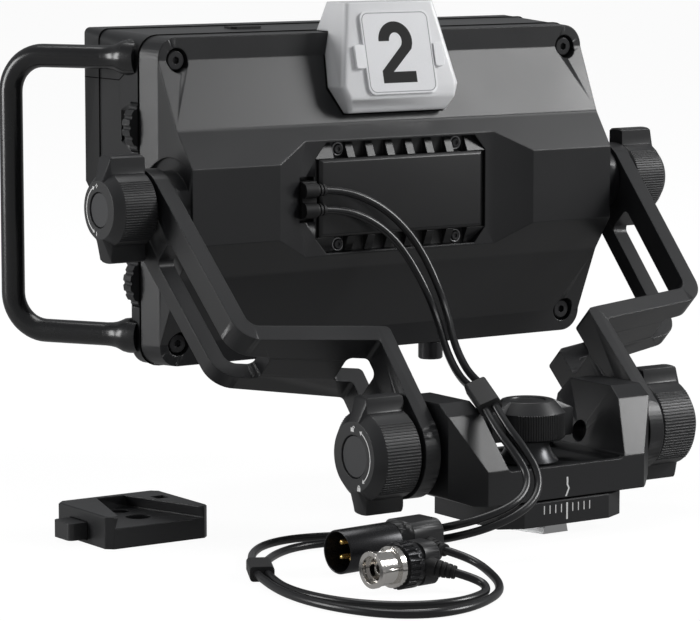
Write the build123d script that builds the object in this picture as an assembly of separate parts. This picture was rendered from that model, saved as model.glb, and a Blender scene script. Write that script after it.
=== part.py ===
from build123d import *
import math
import os

os.makedirs("parts", exist_ok=True)

# Studio camera viewfinder, all sizes in millimetres.
# Origin at the bottom centre of the dovetail foot, X across, Y towards the operator, Z up.

# Driving dimensions, head
HEAD_Z = 143.7
HEAD_HALF_HEIGHT = 76.4
HEAD_HALF_WIDTH = 124.5
COVER_HALF_WIDTH = HEAD_HALF_WIDTH - 2.5
BAND_HALF_WIDTH = HEAD_HALF_WIDTH - 4.1
COVER_WALL = 2.6
HOUSING_WALL = 3.0
COVER_Y = 119.8
LENS_FRONT_Y = 98.1
LENS_HALF_TOP = 25.4
LENS_HALF_LOW = 33.5
SLOPE_Y = 104.6
SLOPE_HALF = 34.0
BAND_Y = 92.5
BAND_HALF = 17.5
POCKET_Y = 99.5
POCKET_HALF_IN = 54.5
POCKET_HALF_OUT = 73.0
CORNER_RADIUS = 10.0
FRAME_HALF_WIDTH = 57.0
FRAME_HALF_HEIGHT = 29.0
SEAM_Y = 132.5
BEZEL_Y = 168.0
FRONT_Y = 182.0
SCREEN_WIDTH = 155.0
SCREEN_HEIGHT = 87.0
SCREEN_Z = 163.5
# Driving dimensions, yoke
TILT_Y = 110.2
FOLD_Y = 6.0
FOLD_Z = 39.5
ARM_THICK = 8.0
HUB_X = HEAD_HALF_WIDTH + 3.2
ARM_INNER_X = HEAD_HALF_WIDTH + 5.2
STUD_RADIUS = 4.95
SHAFT_CLEARANCE = 0.05
THREAD_RADIUS = 4.0
UPPER_KNOB_RADIUS = 17.5
UPPER_WING_RADIUS = 24.5
LOWER_KNOB_RADIUS = 20.5
LOWER_WING_RADIUS = 26.5
PAN_KNOB_RADIUS = 17.0
# Driving dimensions, bracket and foot
BRACKET_HALF_WIDTH = 56.6
UPPER_KNOB_X = ARM_INNER_X + ARM_THICK + 0.1
LOWER_BOSS_X = BRACKET_HALF_WIDTH + 3.0 + ARM_THICK
LOWER_KNOB_X = LOWER_BOSS_X + 0.6
BRACKET_FRONT_Y = -29.6
BRACKET_BACK_Y = 27.0
BRACKET_BOTTOM_Z = 17.5
BRACKET_FLOOR_Z = 29.5
BRACKET_LIP_Z = 32.0
EAR_TOP_Z = 62.0
PLATE_BOTTOM_Z = 5.5
PLATE_TOP_Z = 16.6
PLATE_HALF_WIDTH = 34.5
# Driving dimensions, handles, cables and plugs
HANDLE_TUBE_RADIUS = 5.5
HANDLE_BEND_RADIUS = 17.5
HANDLE_Z = 64.65
HANDLE_OUT_X = HEAD_HALF_WIDTH + 32.5
HANDLE_OUT_Y = 195.0
HANDLE_ROOT_Y = 144.0
CABLE_RADIUS = 1.8
CABLE_PITCH = 4.4
WHEEL_RADIUS = 14.0
WHEEL_WIDTH = 6.7
WHEEL_X = 8.9 - HEAD_HALF_WIDTH
WHEEL_Y = 136.15
SHOE_HEIGHT = 14.5
XLR_RADIUS = 9.5
BNC_RING_RADIUS = 7.25


# Shape helpers
def block(x0, x1, y0, y1, z0, z1):
    centre = Pos((x0 + x1) / 2, (y0 + y1) / 2, (z0 + z1) / 2)
    return centre * Box(abs(x1 - x0), abs(y1 - y0), abs(z1 - z0))


def rod(start, end, radius, far_radius=None):
    start = Vector(start)
    axis = Vector(end) - start
    plane = Plane(origin=start, z_dir=axis)
    low = (Align.CENTER, Align.CENTER, Align.MIN)
    if far_radius is None or abs(far_radius - radius) < 1e-6:
        return plane * Cylinder(radius, axis.length, align=low)
    return plane * Cone(radius, far_radius, axis.length, align=low)


def prism_x(points, x0, x1):
    plane = Plane(origin=(x0, 0, 0), x_dir=(0, 1, 0), z_dir=(1, 0, 0))
    return extrude(plane * Polygon(*points, align=None), x1 - x0, dir=plane.z_dir)


def prism_y(points, y0, y1):
    plane = Plane(origin=(0, y0, 0), x_dir=(1, 0, 0), z_dir=(0, 1, 0))
    turned = [(x, -z) for x, z in points]
    return extrude(plane * Polygon(*turned, align=None), y1 - y0, dir=plane.z_dir)


def prism_z(points, z0, z1):
    plane = Plane.XY.offset(z0)
    return extrude(plane * Polygon(*points, align=None), z1 - z0, dir=plane.z_dir)


def mirrored(points):
    return points + [(-a, b) for a, b in reversed(points)]


def flipped(points, centre):
    upper = [(y, centre + dz) for y, dz in points]
    lower = [(y, centre - dz) for y, dz in reversed(points)]
    return upper + lower


def mirror_x(shape):
    return mirror(shape, about=Plane.YZ)


def tube(points, radius):
    turns = []
    for i in range(1, len(points) - 1):
        before = Vector(*points[i]) - Vector(*points[i - 1])
        after = Vector(*points[i + 1]) - Vector(*points[i])
        turn = math.radians(before.get_angle(after))
        turns.append(0.45 * min(before.length, after.length) / math.tan(turn / 2))
    path = FilletPolyline(*points, radius=turns)
    plane = Plane(origin=path @ 0, z_dir=path % 0)
    solid = sweep(plane * Circle(radius), path=path)
    return solid, turns, path.length


def save(name, shape):
    if isinstance(shape, (list, tuple)):
        shape = Compound(children=list(shape))
    export_step(shape, "parts/" + name + ".step")


# Rear cover, a shell whose panels slope in to a raised band
crown_y = COVER_Y - 0.55
crown_half = HEAD_HALF_HEIGHT - 11.0
side = [(SEAM_Y, HEAD_HALF_HEIGHT), (COVER_Y, HEAD_HALF_HEIGHT - 0.4), (crown_y, crown_half)]
side += [(SLOPE_Y, SLOPE_HALF), (BAND_Y, BAND_HALF)]
reach_x = HEAD_HALF_WIDTH + 6.0
reach_z = HEAD_HALF_HEIGHT + 20.0


def shell_form(sections, radius):
    outlines = []
    for half_w, half_h, y in sections:
        level = Plane(origin=(0, y, HEAD_Z), x_dir=(1, 0, 0), z_dir=(0, 1, 0))
        outlines.append(level * RectangleRounded(2 * half_w, 2 * half_h, radius))
    return loft(outlines, ruled=True)


outer = prism_x(flipped(side, HEAD_Z), -reach_x, reach_x)
bend_lines = outer.edges().filter_by(Axis.X).filter_by(
    lambda e: abs((e @ 0.5).Y - SLOPE_Y) < 0.01)
outer = fillet(bend_lines, 9.0)
hh = HEAD_HALF_HEIGHT
rear_part = shell_form([(BAND_HALF_WIDTH, hh - 0.4, BAND_Y),
                        (COVER_HALF_WIDTH, hh - 0.4, COVER_Y)], CORNER_RADIUS)
seam_part = shell_form([(COVER_HALF_WIDTH, hh - 0.4, COVER_Y),
                        (HEAD_HALF_WIDTH, hh, SEAM_Y)], CORNER_RADIUS)
outer &= rear_part + seam_part
w = COVER_WALL
inner_side = [(SEAM_Y + 1, HEAD_HALF_HEIGHT - w), (COVER_Y + w, HEAD_HALF_HEIGHT - 0.4 - w)]
inner_side += [(crown_y + w, crown_half - 0.7), (SLOPE_Y + w + 0.2, SLOPE_HALF - 0.8)]
inner_side += [(BAND_Y + w, BAND_HALF - 1.2)]
inner = prism_x(flipped(inner_side, HEAD_Z), -reach_x, reach_x)
inner &= shell_form([(BAND_HALF_WIDTH - w, hh - w, BAND_Y),
                     (HEAD_HALF_WIDTH - w, hh - w, SEAM_Y + 2)], CORNER_RADIUS - w)
pocket = prism_z(mirrored([(POCKET_HALF_OUT, BAND_Y - 5), (POCKET_HALF_OUT, BAND_Y),
                           (POCKET_HALF_IN, POCKET_Y)]),
                 HEAD_Z - reach_z, HEAD_Z + reach_z)
pocket_back = prism_z(mirrored([(POCKET_HALF_OUT + 1.2, BAND_Y - 5),
                                (POCKET_HALF_OUT + 1.2, BAND_Y + w),
                                (POCKET_HALF_IN + 1.2, POCKET_Y + w)]),
                      HEAD_Z - reach_z, HEAD_Z + reach_z)
outer -= pocket
cover_shell = outer - (inner - pocket_back)
frame = block(-FRAME_HALF_WIDTH, FRAME_HALF_WIDTH, POCKET_Y, 112.0,
              HEAD_Z - FRAME_HALF_HEIGHT, HEAD_Z + FRAME_HALF_HEIGHT)
recess_half = (49.2, 26.0, 6.3, 7.5)
rx, rz, cx, cz = recess_half
recess_outline = [(rx, HEAD_Z - rz + cz), (rx, HEAD_Z + rz - cz), (rx - cx, HEAD_Z + rz)]
recess_outline += [(-rx + cx, HEAD_Z + rz), (-rx, HEAD_Z + rz - cz), (-rx, HEAD_Z - rz + cz)]
recess_outline += [(-rx + cx, HEAD_Z - rz), (rx - cx, HEAD_Z - rz)]
recess = prism_y(recess_outline, POCKET_Y - 4, 116.0)
cover = cover_shell + (frame & outer) - recess
cable_notch = block(-59, -48, BAND_Y - 2, 105, HEAD_Z - 10.7, HEAD_Z + 10.5)
cover -= cable_notch
corner_x = HEAD_HALF_WIDTH - 12.5
corner_dz = HEAD_HALF_HEIGHT - 11.0
for sx in (-1, 1):
    for sz in (-1, 1):
        at = (sx * corner_x, HEAD_Z + sz * corner_dz)
        post = rod((at[0], 118.8, at[1]), (at[0], 131.0, at[1]), 6.6)
        bore = rod((at[0], 112.0, at[1]), (at[0], 123.4, at[1]), 5.75)
        thread = rod((at[0], 120.0, at[1]), (at[0], 140.0, at[1]), 2.0)
        cover = cover + (post & outer) - bore - thread
socket_x = HEAD_HALF_WIDTH - 3.9
hub_socket = rod((-reach_x - 10, TILT_Y, HEAD_Z), (-socket_x, TILT_Y, HEAD_Z), 22.0)
socket_core = rod((-reach_x, TILT_Y, HEAD_Z), (-socket_x + 3.2, TILT_Y, HEAD_Z), 24.5)
cover = cover + (socket_core & outer) - hub_socket
cover = cover + (mirror_x(socket_core) & outer) - mirror_x(hub_socket)
hub = rod((socket_x - 0.6, TILT_Y, HEAD_Z), (HUB_X, TILT_Y, HEAD_Z), 16.0)
hub_bore = rod((-HUB_X - 10, TILT_Y, HEAD_Z), (-HUB_X + 18, TILT_Y, HEAD_Z), STUD_RADIUS)
cover = cover + hub + mirror_x(hub) - hub_bore - mirror_x(hub_bore)
save("rear_cover", cover)

# Corner screws of the rear cover with a hexagon socket in each head
cover_screws = []
for sx in (-1, 1):
    for sz in (-1, 1):
        x, z = sx * corner_x, HEAD_Z + sz * corner_dz
        head = rod((x, 120.2, z), (x, 123.4, z), 4.5)
        shank = rod((x, 123.4, z), (x, 139.5, z), 2.0)
        socket_plane = Plane(origin=(x, 120.0, z), z_dir=(0, 1, 0))
        socket = extrude(socket_plane * RegularPolygon(1.6, 6), 2.0)
        cover_screws.append(head + shank - socket)
save("cover_screws", cover_screws)

# Front housing, a frame open to both sides with a flange against the rear cover
top_z = HEAD_Z + HEAD_HALF_HEIGHT
bottom_z = HEAD_Z - HEAD_HALF_HEIGHT
rise = 2.2
full = [(SEAM_Y, bottom_z), (SEAM_Y, top_z), (FRONT_Y, top_z + rise), (FRONT_Y, bottom_z)]
head_front = prism_x(full, -HEAD_HALF_WIDTH, HEAD_HALF_WIDTH)
waist = [(HEAD_HALF_WIDTH, top_z + 10), (HEAD_HALF_WIDTH, bottom_z + 82.7)]
waist += [(HEAD_HALF_WIDTH - 19.9, bottom_z + 44.7), (HEAD_HALF_WIDTH - 31.5, bottom_z + 27.7)]
waist += [(HEAD_HALF_WIDTH - 46.5, bottom_z - 1)]
flange_y = 140.5
waist_prism = prism_y(mirrored(waist), flange_y, FRONT_Y + 1)
flange = block(-HEAD_HALF_WIDTH, HEAD_HALF_WIDTH, SEAM_Y, flange_y, bottom_z, top_z + 1)
rear_plane = Plane(origin=(0, SEAM_Y, HEAD_Z), x_dir=(1, 0, 0), z_dir=(0, 1, 0))
far_plane = Plane(origin=(0, FRONT_Y, HEAD_Z + rise / 2), x_dir=(1, 0, 0), z_dir=(0, 1, 0))
rear_outline = RectangleRounded(2 * HEAD_HALF_WIDTH, 2 * HEAD_HALF_HEIGHT, CORNER_RADIUS)
far_outline = RectangleRounded(2 * HEAD_HALF_WIDTH, 2 * HEAD_HALF_HEIGHT + rise, 3.0)
envelope = loft([rear_plane * rear_outline, far_plane * far_outline], ruled=True)
body_outer = head_front & (waist_prism + flange) & envelope
h = HOUSING_WALL
inner_waist = [(HEAD_HALF_WIDTH - h - 5, top_z - h), (HEAD_HALF_WIDTH - h, top_z - h - 5)]
inner_waist += [(HEAD_HALF_WIDTH - h, bottom_z + 83.7)]
inner_waist += [(HEAD_HALF_WIDTH - 19.9 - h, bottom_z + 45.9)]
inner_waist += [(HEAD_HALF_WIDTH - 31.5 - h, bottom_z + 28.9)]
inner_waist += [(HEAD_HALF_WIDTH - 46.5 - h, bottom_z + h)]
cavity = prism_y(mirrored(inner_waist), SEAM_Y - 1, BEZEL_Y + 1)
flange_cavity = block(-HEAD_HALF_WIDTH + h, HEAD_HALF_WIDTH - h, SEAM_Y - 1, flange_y - h,
                      bottom_z + h, top_z - h)
flange_cavity = fillet(flange_cavity.edges().filter_by(Axis.Y), CORNER_RADIUS - h)
housing = body_outer - cavity - flange_cavity
housing &= block(-200, 200, SEAM_Y, BEZEL_Y, 0, 300)
for sx in (-1, 1):
    for sz in (-1, 1):
        x, z = sx * corner_x, HEAD_Z + sz * corner_dz
        housing += rod((x, SEAM_Y, z), (x, flange_y, z), 5.2) & flange
        root_z = HEAD_Z + 1.45 + sz * HANDLE_Z
        lug = rod((sx * HEAD_HALF_WIDTH, HANDLE_ROOT_Y, root_z),
                  (sx * (HEAD_HALF_WIDTH - 12), HANDLE_ROOT_Y, root_z), 8.0)
        housing += lug
for sx in (-1, 1):
    for sz in (-1, 1):
        x, z = sx * corner_x, HEAD_Z + sz * corner_dz
        housing -= rod((x, SEAM_Y - 1, z), (x, 139.7, z), 2.0)
wheel_zs = (178.0, 106.0)
for z in wheel_zs:
    bearing = block(-HEAD_HALF_WIDTH + 1.0, WHEEL_X + 17.6, SEAM_Y, 150.5, z - 18.5, z + 18.5)
    housing += bearing & body_outer
    finger_x = -HEAD_HALF_WIDTH - 5.0
    finger = rod((finger_x, WHEEL_Y + 3.4, z), (finger_x, 148.5, z), 9.0)
    pocket = rod((WHEEL_X, SEAM_Y - 1, z), (WHEEL_X, WHEEL_Y + WHEEL_WIDTH / 2 + 0.3, z),
                 WHEEL_RADIUS + 0.45)
    housing = housing - pocket - finger
    pin_end = WHEEL_Y + WHEEL_WIDTH / 2 + 0.3
    housing += rod((WHEEL_X, SEAM_Y + 0.2, z), (WHEEL_X, pin_end, z), 2.45)
port_z = top_z + 22.5 * rise / 49.5
port = block(-62, -45, 150, 160, port_z - 1.0, port_z + 0.9)
port = chamfer(port.edges().filter_by(Axis.Z), 2.0)
housing -= port
save("port_cover", port)
save("front_housing", housing)

# Bezel around the screen, with a rebate for the cover glass and bores for two buttons
bezel = body_outer & block(-200, 200, BEZEL_Y, FRONT_Y, 0, 300)
half_w = SCREEN_WIDTH / 2
half_h = SCREEN_HEIGHT / 2
bezel -= block(-half_w, half_w, BEZEL_Y - 1, FRONT_Y + 1, SCREEN_Z - half_h, SCREEN_Z + half_h)
rebate_y = 175.0
bezel -= block(-half_w - 5, half_w + 5, rebate_y, FRONT_Y + 1,
               SCREEN_Z - half_h - 5, SCREEN_Z + half_h + 5)
bezel -= block(-88, 88, BEZEL_Y - 1, 171.5, SCREEN_Z - half_h - 6, SCREEN_Z + half_h + 6)
hollow_back = prism_y(mirrored(inner_waist), BEZEL_Y - 1, FRONT_Y - 4.0)
hollow_back -= block(-half_w - 9, half_w + 9, 160, 190, SCREEN_Z - half_h - 9, SCREEN_Z + half_h + 9)
bezel -= hollow_back
button_xs = (-16.0, 16.0)
button_z = 91.0
button_radius = 6.0
for x in button_xs:
    bezel -= rod((x, 160, button_z), (x, 190, button_z), button_radius + 0.3)
save("front_bezel", bezel)
screen = block(-half_w - 4, half_w + 4, 166.0, 171.5, SCREEN_Z - half_h - 4, SCREEN_Z + half_h + 4)
save("screen_panel", screen)
glass = block(-half_w - 4.6, half_w + 4.6, rebate_y, rebate_y + 1.8,
              SCREEN_Z - half_h - 4.6, SCREEN_Z + half_h + 4.6)
save("screen_glass", glass)

# Function buttons with a collar behind the bezel wall
for name, x in zip(("left_button", "right_button"), button_xs):
    cap = rod((x, FRONT_Y - 7.4, button_z), (x, FRONT_Y + 2.0, button_z), button_radius)
    collar = rod((x, FRONT_Y - 7.4, button_z), (x, FRONT_Y - 4.2, button_z), button_radius + 2.2)
    button = cap + collar
    button = fillet(button.faces().sort_by(Axis.Y)[-1].edges(), 0.8)
    save(name, button)

# Thumb wheels on fixed pins, their teeth cut round the rim
for name, z in zip(("upper_thumb_wheel", "lower_thumb_wheel"), wheel_zs):
    y0 = WHEEL_Y - WHEEL_WIDTH / 2
    y1 = WHEEL_Y + WHEEL_WIDTH / 2
    wheel = rod((WHEEL_X, y0, z), (WHEEL_X, y1, z), WHEEL_RADIUS)
    for i in range(18):
        a = math.radians(20 * i)
        x = WHEEL_X + (WHEEL_RADIUS + 0.35) * math.cos(a)
        zz = z + (WHEEL_RADIUS + 0.35) * math.sin(a)
        wheel -= rod((x, y0 - 1, zz), (x, y1 + 1, zz), 1.15)
    wheel -= rod((WHEEL_X, y0 - 1, z), (WHEEL_X, y1 + 1, z), 2.5)
    save(name, wheel)

# Finned heat sink seated in the octagonal recess, carrying the bare cover plate
sink_y = 104.0
sink_outline = [(x * 0.994, HEAD_Z + (z - HEAD_Z) * 0.994) for x, z in recess_outline]
sink = prism_y(sink_outline, sink_y, 112.0)
sink += block(-15, 15, 112.0, 124.0, HEAD_Z - 15, HEAD_Z + 15)
rib_pitch = 11.4
plate_half = (47.0, 18.4)
plate_front_y = 98.5
plate_back_y = 101.2
for i in range(-3, 5):
    x = (i - 0.5) * rib_pitch
    rib = [(sink_y + 0.2, 25.7), (103.0, 25.7), (99.6, plate_half[1] + 0.05)]
    rib += [(plate_back_y, plate_half[1] + 0.05), (plate_back_y, 0.0)]
    at_end = i in (-3, 4)
    wide = 5.5 if at_end else 2.1
    centre = math.copysign(44.0, x) if at_end else x
    sink += prism_x(flipped(rib, HEAD_Z), centre - wide, centre + wide) & prism_y(
        sink_outline, 90, 120)
screw_x = 34.0
screw_dz = 22.4
for sx in (-1, 1):
    for sz in (-1, 1):
        x, z = sx * screw_x, HEAD_Z + sz * screw_dz
        sink -= rod((x, 90, z), (x, 103.9, z), 3.25)
        sink -= rod((x, 103, z), (x, 109.6, z), 1.25)
        sink += rod((x, 103.8, z), (x, 104.2, z), 3.2) - rod((x, 103, z), (x, 109.6, z), 1.25)
save("heat_sink", sink)
px, pz = plate_half
plate = block(-px, px, plate_front_y, plate_back_y, HEAD_Z - pz, HEAD_Z + pz)
top_edges = plate.faces().sort_by(Axis.Y)[0].edges().filter_by(Axis.X)
plate = chamfer(top_edges, 1.4)
save("heat_sink_cover", plate)
sink_screws = []
for sx in (-1, 1):
    for sz in (-1, 1):
        x, z = sx * screw_x, HEAD_Z + sz * screw_dz
        screw = rod((x, 102.6, z), (x, 103.8, z), 2.6) + rod((x, 103.8, z), (x, 109.5, z), 1.25)
        socket_plane = Plane(origin=(x, 102.5, z), z_dir=(0, 1, 0))
        screw -= extrude(socket_plane * RegularPolygon(1.2, 6), 0.9)
        sink_screws.append(screw)
save("heat_sink_screws", sink_screws)

# Main board behind the heat sink pedestal
board = block(-92, 92, 124.0, 125.6, HEAD_Z - 58, HEAD_Z + 58)
board += block(-18, 18, 125.6, 127.4, HEAD_Z - 14, HEAD_Z + 18)
board += block(-70, -50, 125.6, 131.0, HEAD_Z - 50, HEAD_Z - 36)
board += block(40, 74, 125.6, 128.0, HEAD_Z + 20, HEAD_Z + 44)
save("main_board", board)

# Tally light: clear housing, number card, side clips and lamp board
roof_z = HEAD_Z + HEAD_HALF_HEIGHT
lens_top = roof_z + 13.9
lens_low = HEAD_Z + 45.9
lens_foot = HEAD_Z + 38.7
lens_lean = 0.2455
lens_top_y = LENS_FRONT_Y + lens_lean * (lens_top - lens_low)
lens_side = [(lens_top_y, lens_top), (LENS_FRONT_Y, lens_low), (LENS_FRONT_Y + 3.9, lens_foot)]
lens_side += [(crown_y, lens_foot), (crown_y, roof_z - 10.9), (COVER_Y + 0.1, roof_z + 0.2)]
lens_side += [(COVER_Y + 9.8, roof_z + 0.4), (COVER_Y + 5.2, lens_top)]
lens = prism_x(lens_side, -40, 40)
lens_front = [(LENS_HALF_TOP, lens_top + 2), (LENS_HALF_TOP, lens_top)]
lens_front += [(LENS_HALF_LOW, lens_low + 4.9), (LENS_HALF_LOW - 5.3, lens_foot)]
lens_front += [(LENS_HALF_LOW - 5.5, lens_foot - 1)]
lens &= prism_y(mirrored(lens_front), 80, 140)
front_edges = lens.edges().filter_by(
    lambda e: (e @ 0.5).Y < LENS_FRONT_Y + 7
    and max((e @ 0).Y, (e @ 1).Y) < LENS_FRONT_Y + 12)
tip = fillet(front_edges, 2.6)
wall = 2.2
inner_lens_side = [(lens_top_y + wall, lens_top - wall), (LENS_FRONT_Y + wall + 0.4, lens_low + 0.9)]
inner_lens_side += [(LENS_FRONT_Y + 3.9 + wall, lens_foot + 2.9), (crown_y + 6, lens_foot + 2.9)]
inner_lens_side += [(crown_y + 6, roof_z - 2), (COVER_Y + 3.2, lens_top - wall)]
hollow = prism_x(inner_lens_side, -40, 40)
hollow_front = [(LENS_HALF_TOP - wall, lens_top + 2), (LENS_HALF_TOP - wall, lens_top)]
hollow_front += [(LENS_HALF_LOW - wall, lens_low + 5.5), (LENS_HALF_LOW - 7.4, lens_foot + 1.4)]
hollow &= prism_y(mirrored(hollow_front), 80, 140)
hollow -= block(-60, 60, COVER_Y + 0.1, 140, roof_z - 2.1, roof_z + 2.5)
lens = tip - hollow - outer
save("tally_lens", lens)
face_n = Vector(0, -1, lens_lean).normalized()
card_dz = 66.5
face_mid = Vector(0, LENS_FRONT_Y + lens_lean * (HEAD_Z + card_dz - lens_low), HEAD_Z + card_dz)
card_plane = Plane(origin=face_mid, x_dir=(1, 0, 0), z_dir=face_n)
card = extrude(card_plane * RectangleRounded(39.6, 40.0, 4.0), 1.2)
save("number_card", card)
clips = []
for sx in (-1, 1):
    beside = face_mid + Vector(sx * 22.6, -1.6 * lens_lean, -1.6)
    clip_plane = Plane(origin=beside, x_dir=(1, 0, 0), z_dir=face_n)
    clips.append(extrude(clip_plane * RectangleRounded(5.2, 11.4, 1.2), 1.8))
save("tally_clips", clips)
slope_n = Vector(0, SLOPE_HALF - crown_half, crown_y - SLOPE_Y).normalized()
board_dz = 55.0
board_y = SLOPE_Y + (board_dz - SLOPE_HALF) * (crown_y - SLOPE_Y) / (crown_half - SLOPE_HALF)
board_mid = Vector(0, board_y, HEAD_Z + board_dz)
lamp_plane = Plane(origin=board_mid, x_dir=(1, 0, 0), z_dir=slope_n)
lamp_board = extrude(lamp_plane * Rectangle(46.0, 22.0), 1.6)
for i in range(4):
    for j in range(2):
        lamp = lamp_plane * Pos(-16.5 + 11 * i, -5 + 10 * j, 1.6)
        lamp_board += lamp * Box(3.5, 3.5, 1.2, align=(Align.CENTER, Align.CENTER, Align.MIN))
save("tally_lamp_board", lamp_board)

# Side handles, bent tube with a conical collar at each root
rail = HEAD_Z + 1.45
lean = Vector(HANDLE_OUT_X - HEAD_HALF_WIDTH, HANDLE_OUT_Y - HANDLE_ROOT_Y, 0)
slant = lean.normalized()
root_at = Vector(HEAD_HALF_WIDTH, HANDLE_ROOT_Y, 0) - slant * 12.0
root_in = (root_at.X, root_at.Y)
handle_path = FilletPolyline((root_in[0], root_in[1], rail + HANDLE_Z),
                             (HANDLE_OUT_X, HANDLE_OUT_Y, rail + HANDLE_Z),
                             (HANDLE_OUT_X, HANDLE_OUT_Y, rail - HANDLE_Z),
                             (root_in[0], root_in[1], rail - HANDLE_Z),
                             radius=HANDLE_BEND_RADIUS)
handle_plane = Plane(origin=handle_path @ 0, z_dir=handle_path % 0)
handle = sweep(handle_plane * Circle(HANDLE_TUBE_RADIUS), path=handle_path)
handle &= block(HEAD_HALF_WIDTH, 260, 100, 260, 0, 300)
for sz in (-1, 1):
    z = rail + sz * HANDLE_Z
    start = Vector(HEAD_HALF_WIDTH, HANDLE_ROOT_Y, z)
    back = start - slant * 6
    tip_at = start + slant * 9.5
    collar = rod(back, tip_at, 8.4, 6.3)
    handle += collar & block(HEAD_HALF_WIDTH, 260, 100, 260, 0, 300)
save("right_handle", handle)
save("left_handle", mirror_x(handle))

# Accessory boss screwed under the head
boss = rod((36, 126, bottom_z), (36, 126, bottom_z - 8.4), 6.0)
boss -= rod((36, 126, bottom_z - 9), (36, 126, bottom_z - 2), 3.0)
boss = chamfer(boss.faces().sort_by(Axis.Z)[0].edges().sort_by(SortBy.LENGTH)[-1:], 0.6)
save("accessory_boss", boss)

# Tilt studs fixed in the hubs of the rear cover
stud_end = UPPER_KNOB_X - 0.4
stud = rod((HUB_X - 13.1, TILT_Y, HEAD_Z), (stud_end, TILT_Y, HEAD_Z), STUD_RADIUS)
stud += rod((stud_end, TILT_Y, HEAD_Z), (stud_end + 12.6, TILT_Y, HEAD_Z), THREAD_RADIUS)
save("tilt_studs", [stud, mirror_x(stud)])

# Yoke arms, cranked plates 45 degrees back with a window round each bend
arm_length = math.hypot(TILT_Y - FOLD_Y, HEAD_Z - FOLD_Z)
run_in = [(ARM_INNER_X, -22.0), (ARM_INNER_X - 5.3, 83.8), (BRACKET_HALF_WIDTH, 94.0)]
run_in += [(BRACKET_HALF_WIDTH + 3.0, 170.0)]


def offset_line(p, q, d):
    u = Vector(q[0] - p[0], q[1] - p[1], 0).normalized()
    n = Vector(u.Y, -u.X, 0)
    return (p[0] + n.X * d, p[1] + n.Y * d), (q[0] + n.X * d, q[1] + n.Y * d)


def meet(a, b):
    (x1, y1), (x2, y2) = a
    (x3, y3), (x4, y4) = b
    d = (x1 - x2) * (y3 - y4) - (y1 - y2) * (x3 - x4)
    m = x1 * y2 - y1 * x2
    n = x3 * y4 - y3 * x4
    return ((m * (x3 - x4) - (x1 - x2) * n) / d, (m * (y3 - y4) - (y1 - y2) * n) / d)


legs = [offset_line(run_in[i], run_in[i + 1], ARM_THICK) for i in range(3)]
arm_points = run_in + [legs[2][1], meet(legs[1], legs[2]), meet(legs[0], legs[1]), legs[0][0]]
arm_plane = Plane(origin=(0, TILT_Y, HEAD_Z), x_dir=(1, 0, 0),
                  z_dir=(0, HEAD_Z - FOLD_Z, -(TILT_Y - FOLD_Y)))
half_band = 24.0
arm = extrude(arm_plane.offset(-half_band) * Polygon(*arm_points, align=None), 2 * half_band,
              dir=arm_plane.z_dir)


def along(shape):
    return arm_plane * shape


def bend_edges(point, tol=1.5):
    target = arm_plane.from_local_coords(Vector(point[0], point[1], 0))
    return arm.edges().filter_by(lambda e: (e.center() - target).length < tol)


outer_bend = arm_points[6]
inner_bend = run_in[1]
arm = fillet(bend_edges(inner_bend), 6.0)
arm = fillet(bend_edges(outer_bend), 13.0)
arm = fillet(bend_edges(run_in[2]), 2.5)
arm = fillet(bend_edges(arm_points[5]), 2.0)
low = (Align.CENTER, Align.CENTER, Align.MIN)


def cross_rod(s, radius, x0, x1):
    at = arm_plane.from_local_coords(Vector(0, s, 0))
    return rod((x0, at.Y, at.Z), (x1, at.Y, at.Z), radius)


far_x = UPPER_KNOB_X + 30.0
mid = Pos(far_x / 2 + 10, arm_length / 2, 0)
outline = along(mid * Box(far_x - 20, arm_length, 2 * half_band))
outline += cross_rod(0, 17.5, 20, far_x)
outline += cross_rod(arm_length, 21.3, 20, far_x)
arm &= outline
wide_x = BRACKET_HALF_WIDTH + 5.4
slim_x = HEAD_HALF_WIDTH - 2.5
plan_pts = [(20, 21.3), (wide_x, 21.3), (slim_x, 17.4), (far_x, 17.4)]
plan_pts += [(far_x, -17.5), (slim_x, -17.5), (wide_x, -21.3), (20, -21.3)]
plan_local = Plane(origin=arm_plane.from_local_coords(Vector(0, -30, 0)), x_dir=(1, 0, 0),
                   z_dir=arm_plane.y_dir)
arm &= extrude(plan_local * Polygon(*plan_pts, align=None), 260, dir=plan_local.z_dir)
window_a = Pos(ARM_INNER_X - 1.2, 67.5, 2.0) * Box(33, 85, 15.0)
window_a = fillet(window_a.edges().filter_by(Axis.X).group_by(Axis.Y)[0], 3.0)
window_a = fillet(window_a.edges().filter_by(Axis.Y).group_by(Axis.X)[0], 3.0)
window_b = Pos(BRACKET_HALF_WIDTH + 5.9, 95.0, 1.0) * Box(25, 30, 17.0)
window_b = fillet(window_b.edges().filter_by(Axis.X).group_by(Axis.Y)[-1], 3.0)
window_b = fillet(window_b.edges().filter_by(Axis.Y).group_by(Axis.X)[-1], 3.0)
arm = arm - along(window_a) - along(window_b)
arm += cross_rod(0, 13.0, HUB_X + 0.3, UPPER_KNOB_X - 0.6)
arm += cross_rod(arm_length, 15.0, BRACKET_HALF_WIDTH + 1.0, LOWER_BOSS_X)
arm -= cross_rod(0, STUD_RADIUS + SHAFT_CLEARANCE, HUB_X - 20, far_x)
arm -= cross_rod(arm_length, STUD_RADIUS + SHAFT_CLEARANCE, 20, far_x)
save("right_arm", arm)
save("left_arm", mirror_x(arm))


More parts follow.
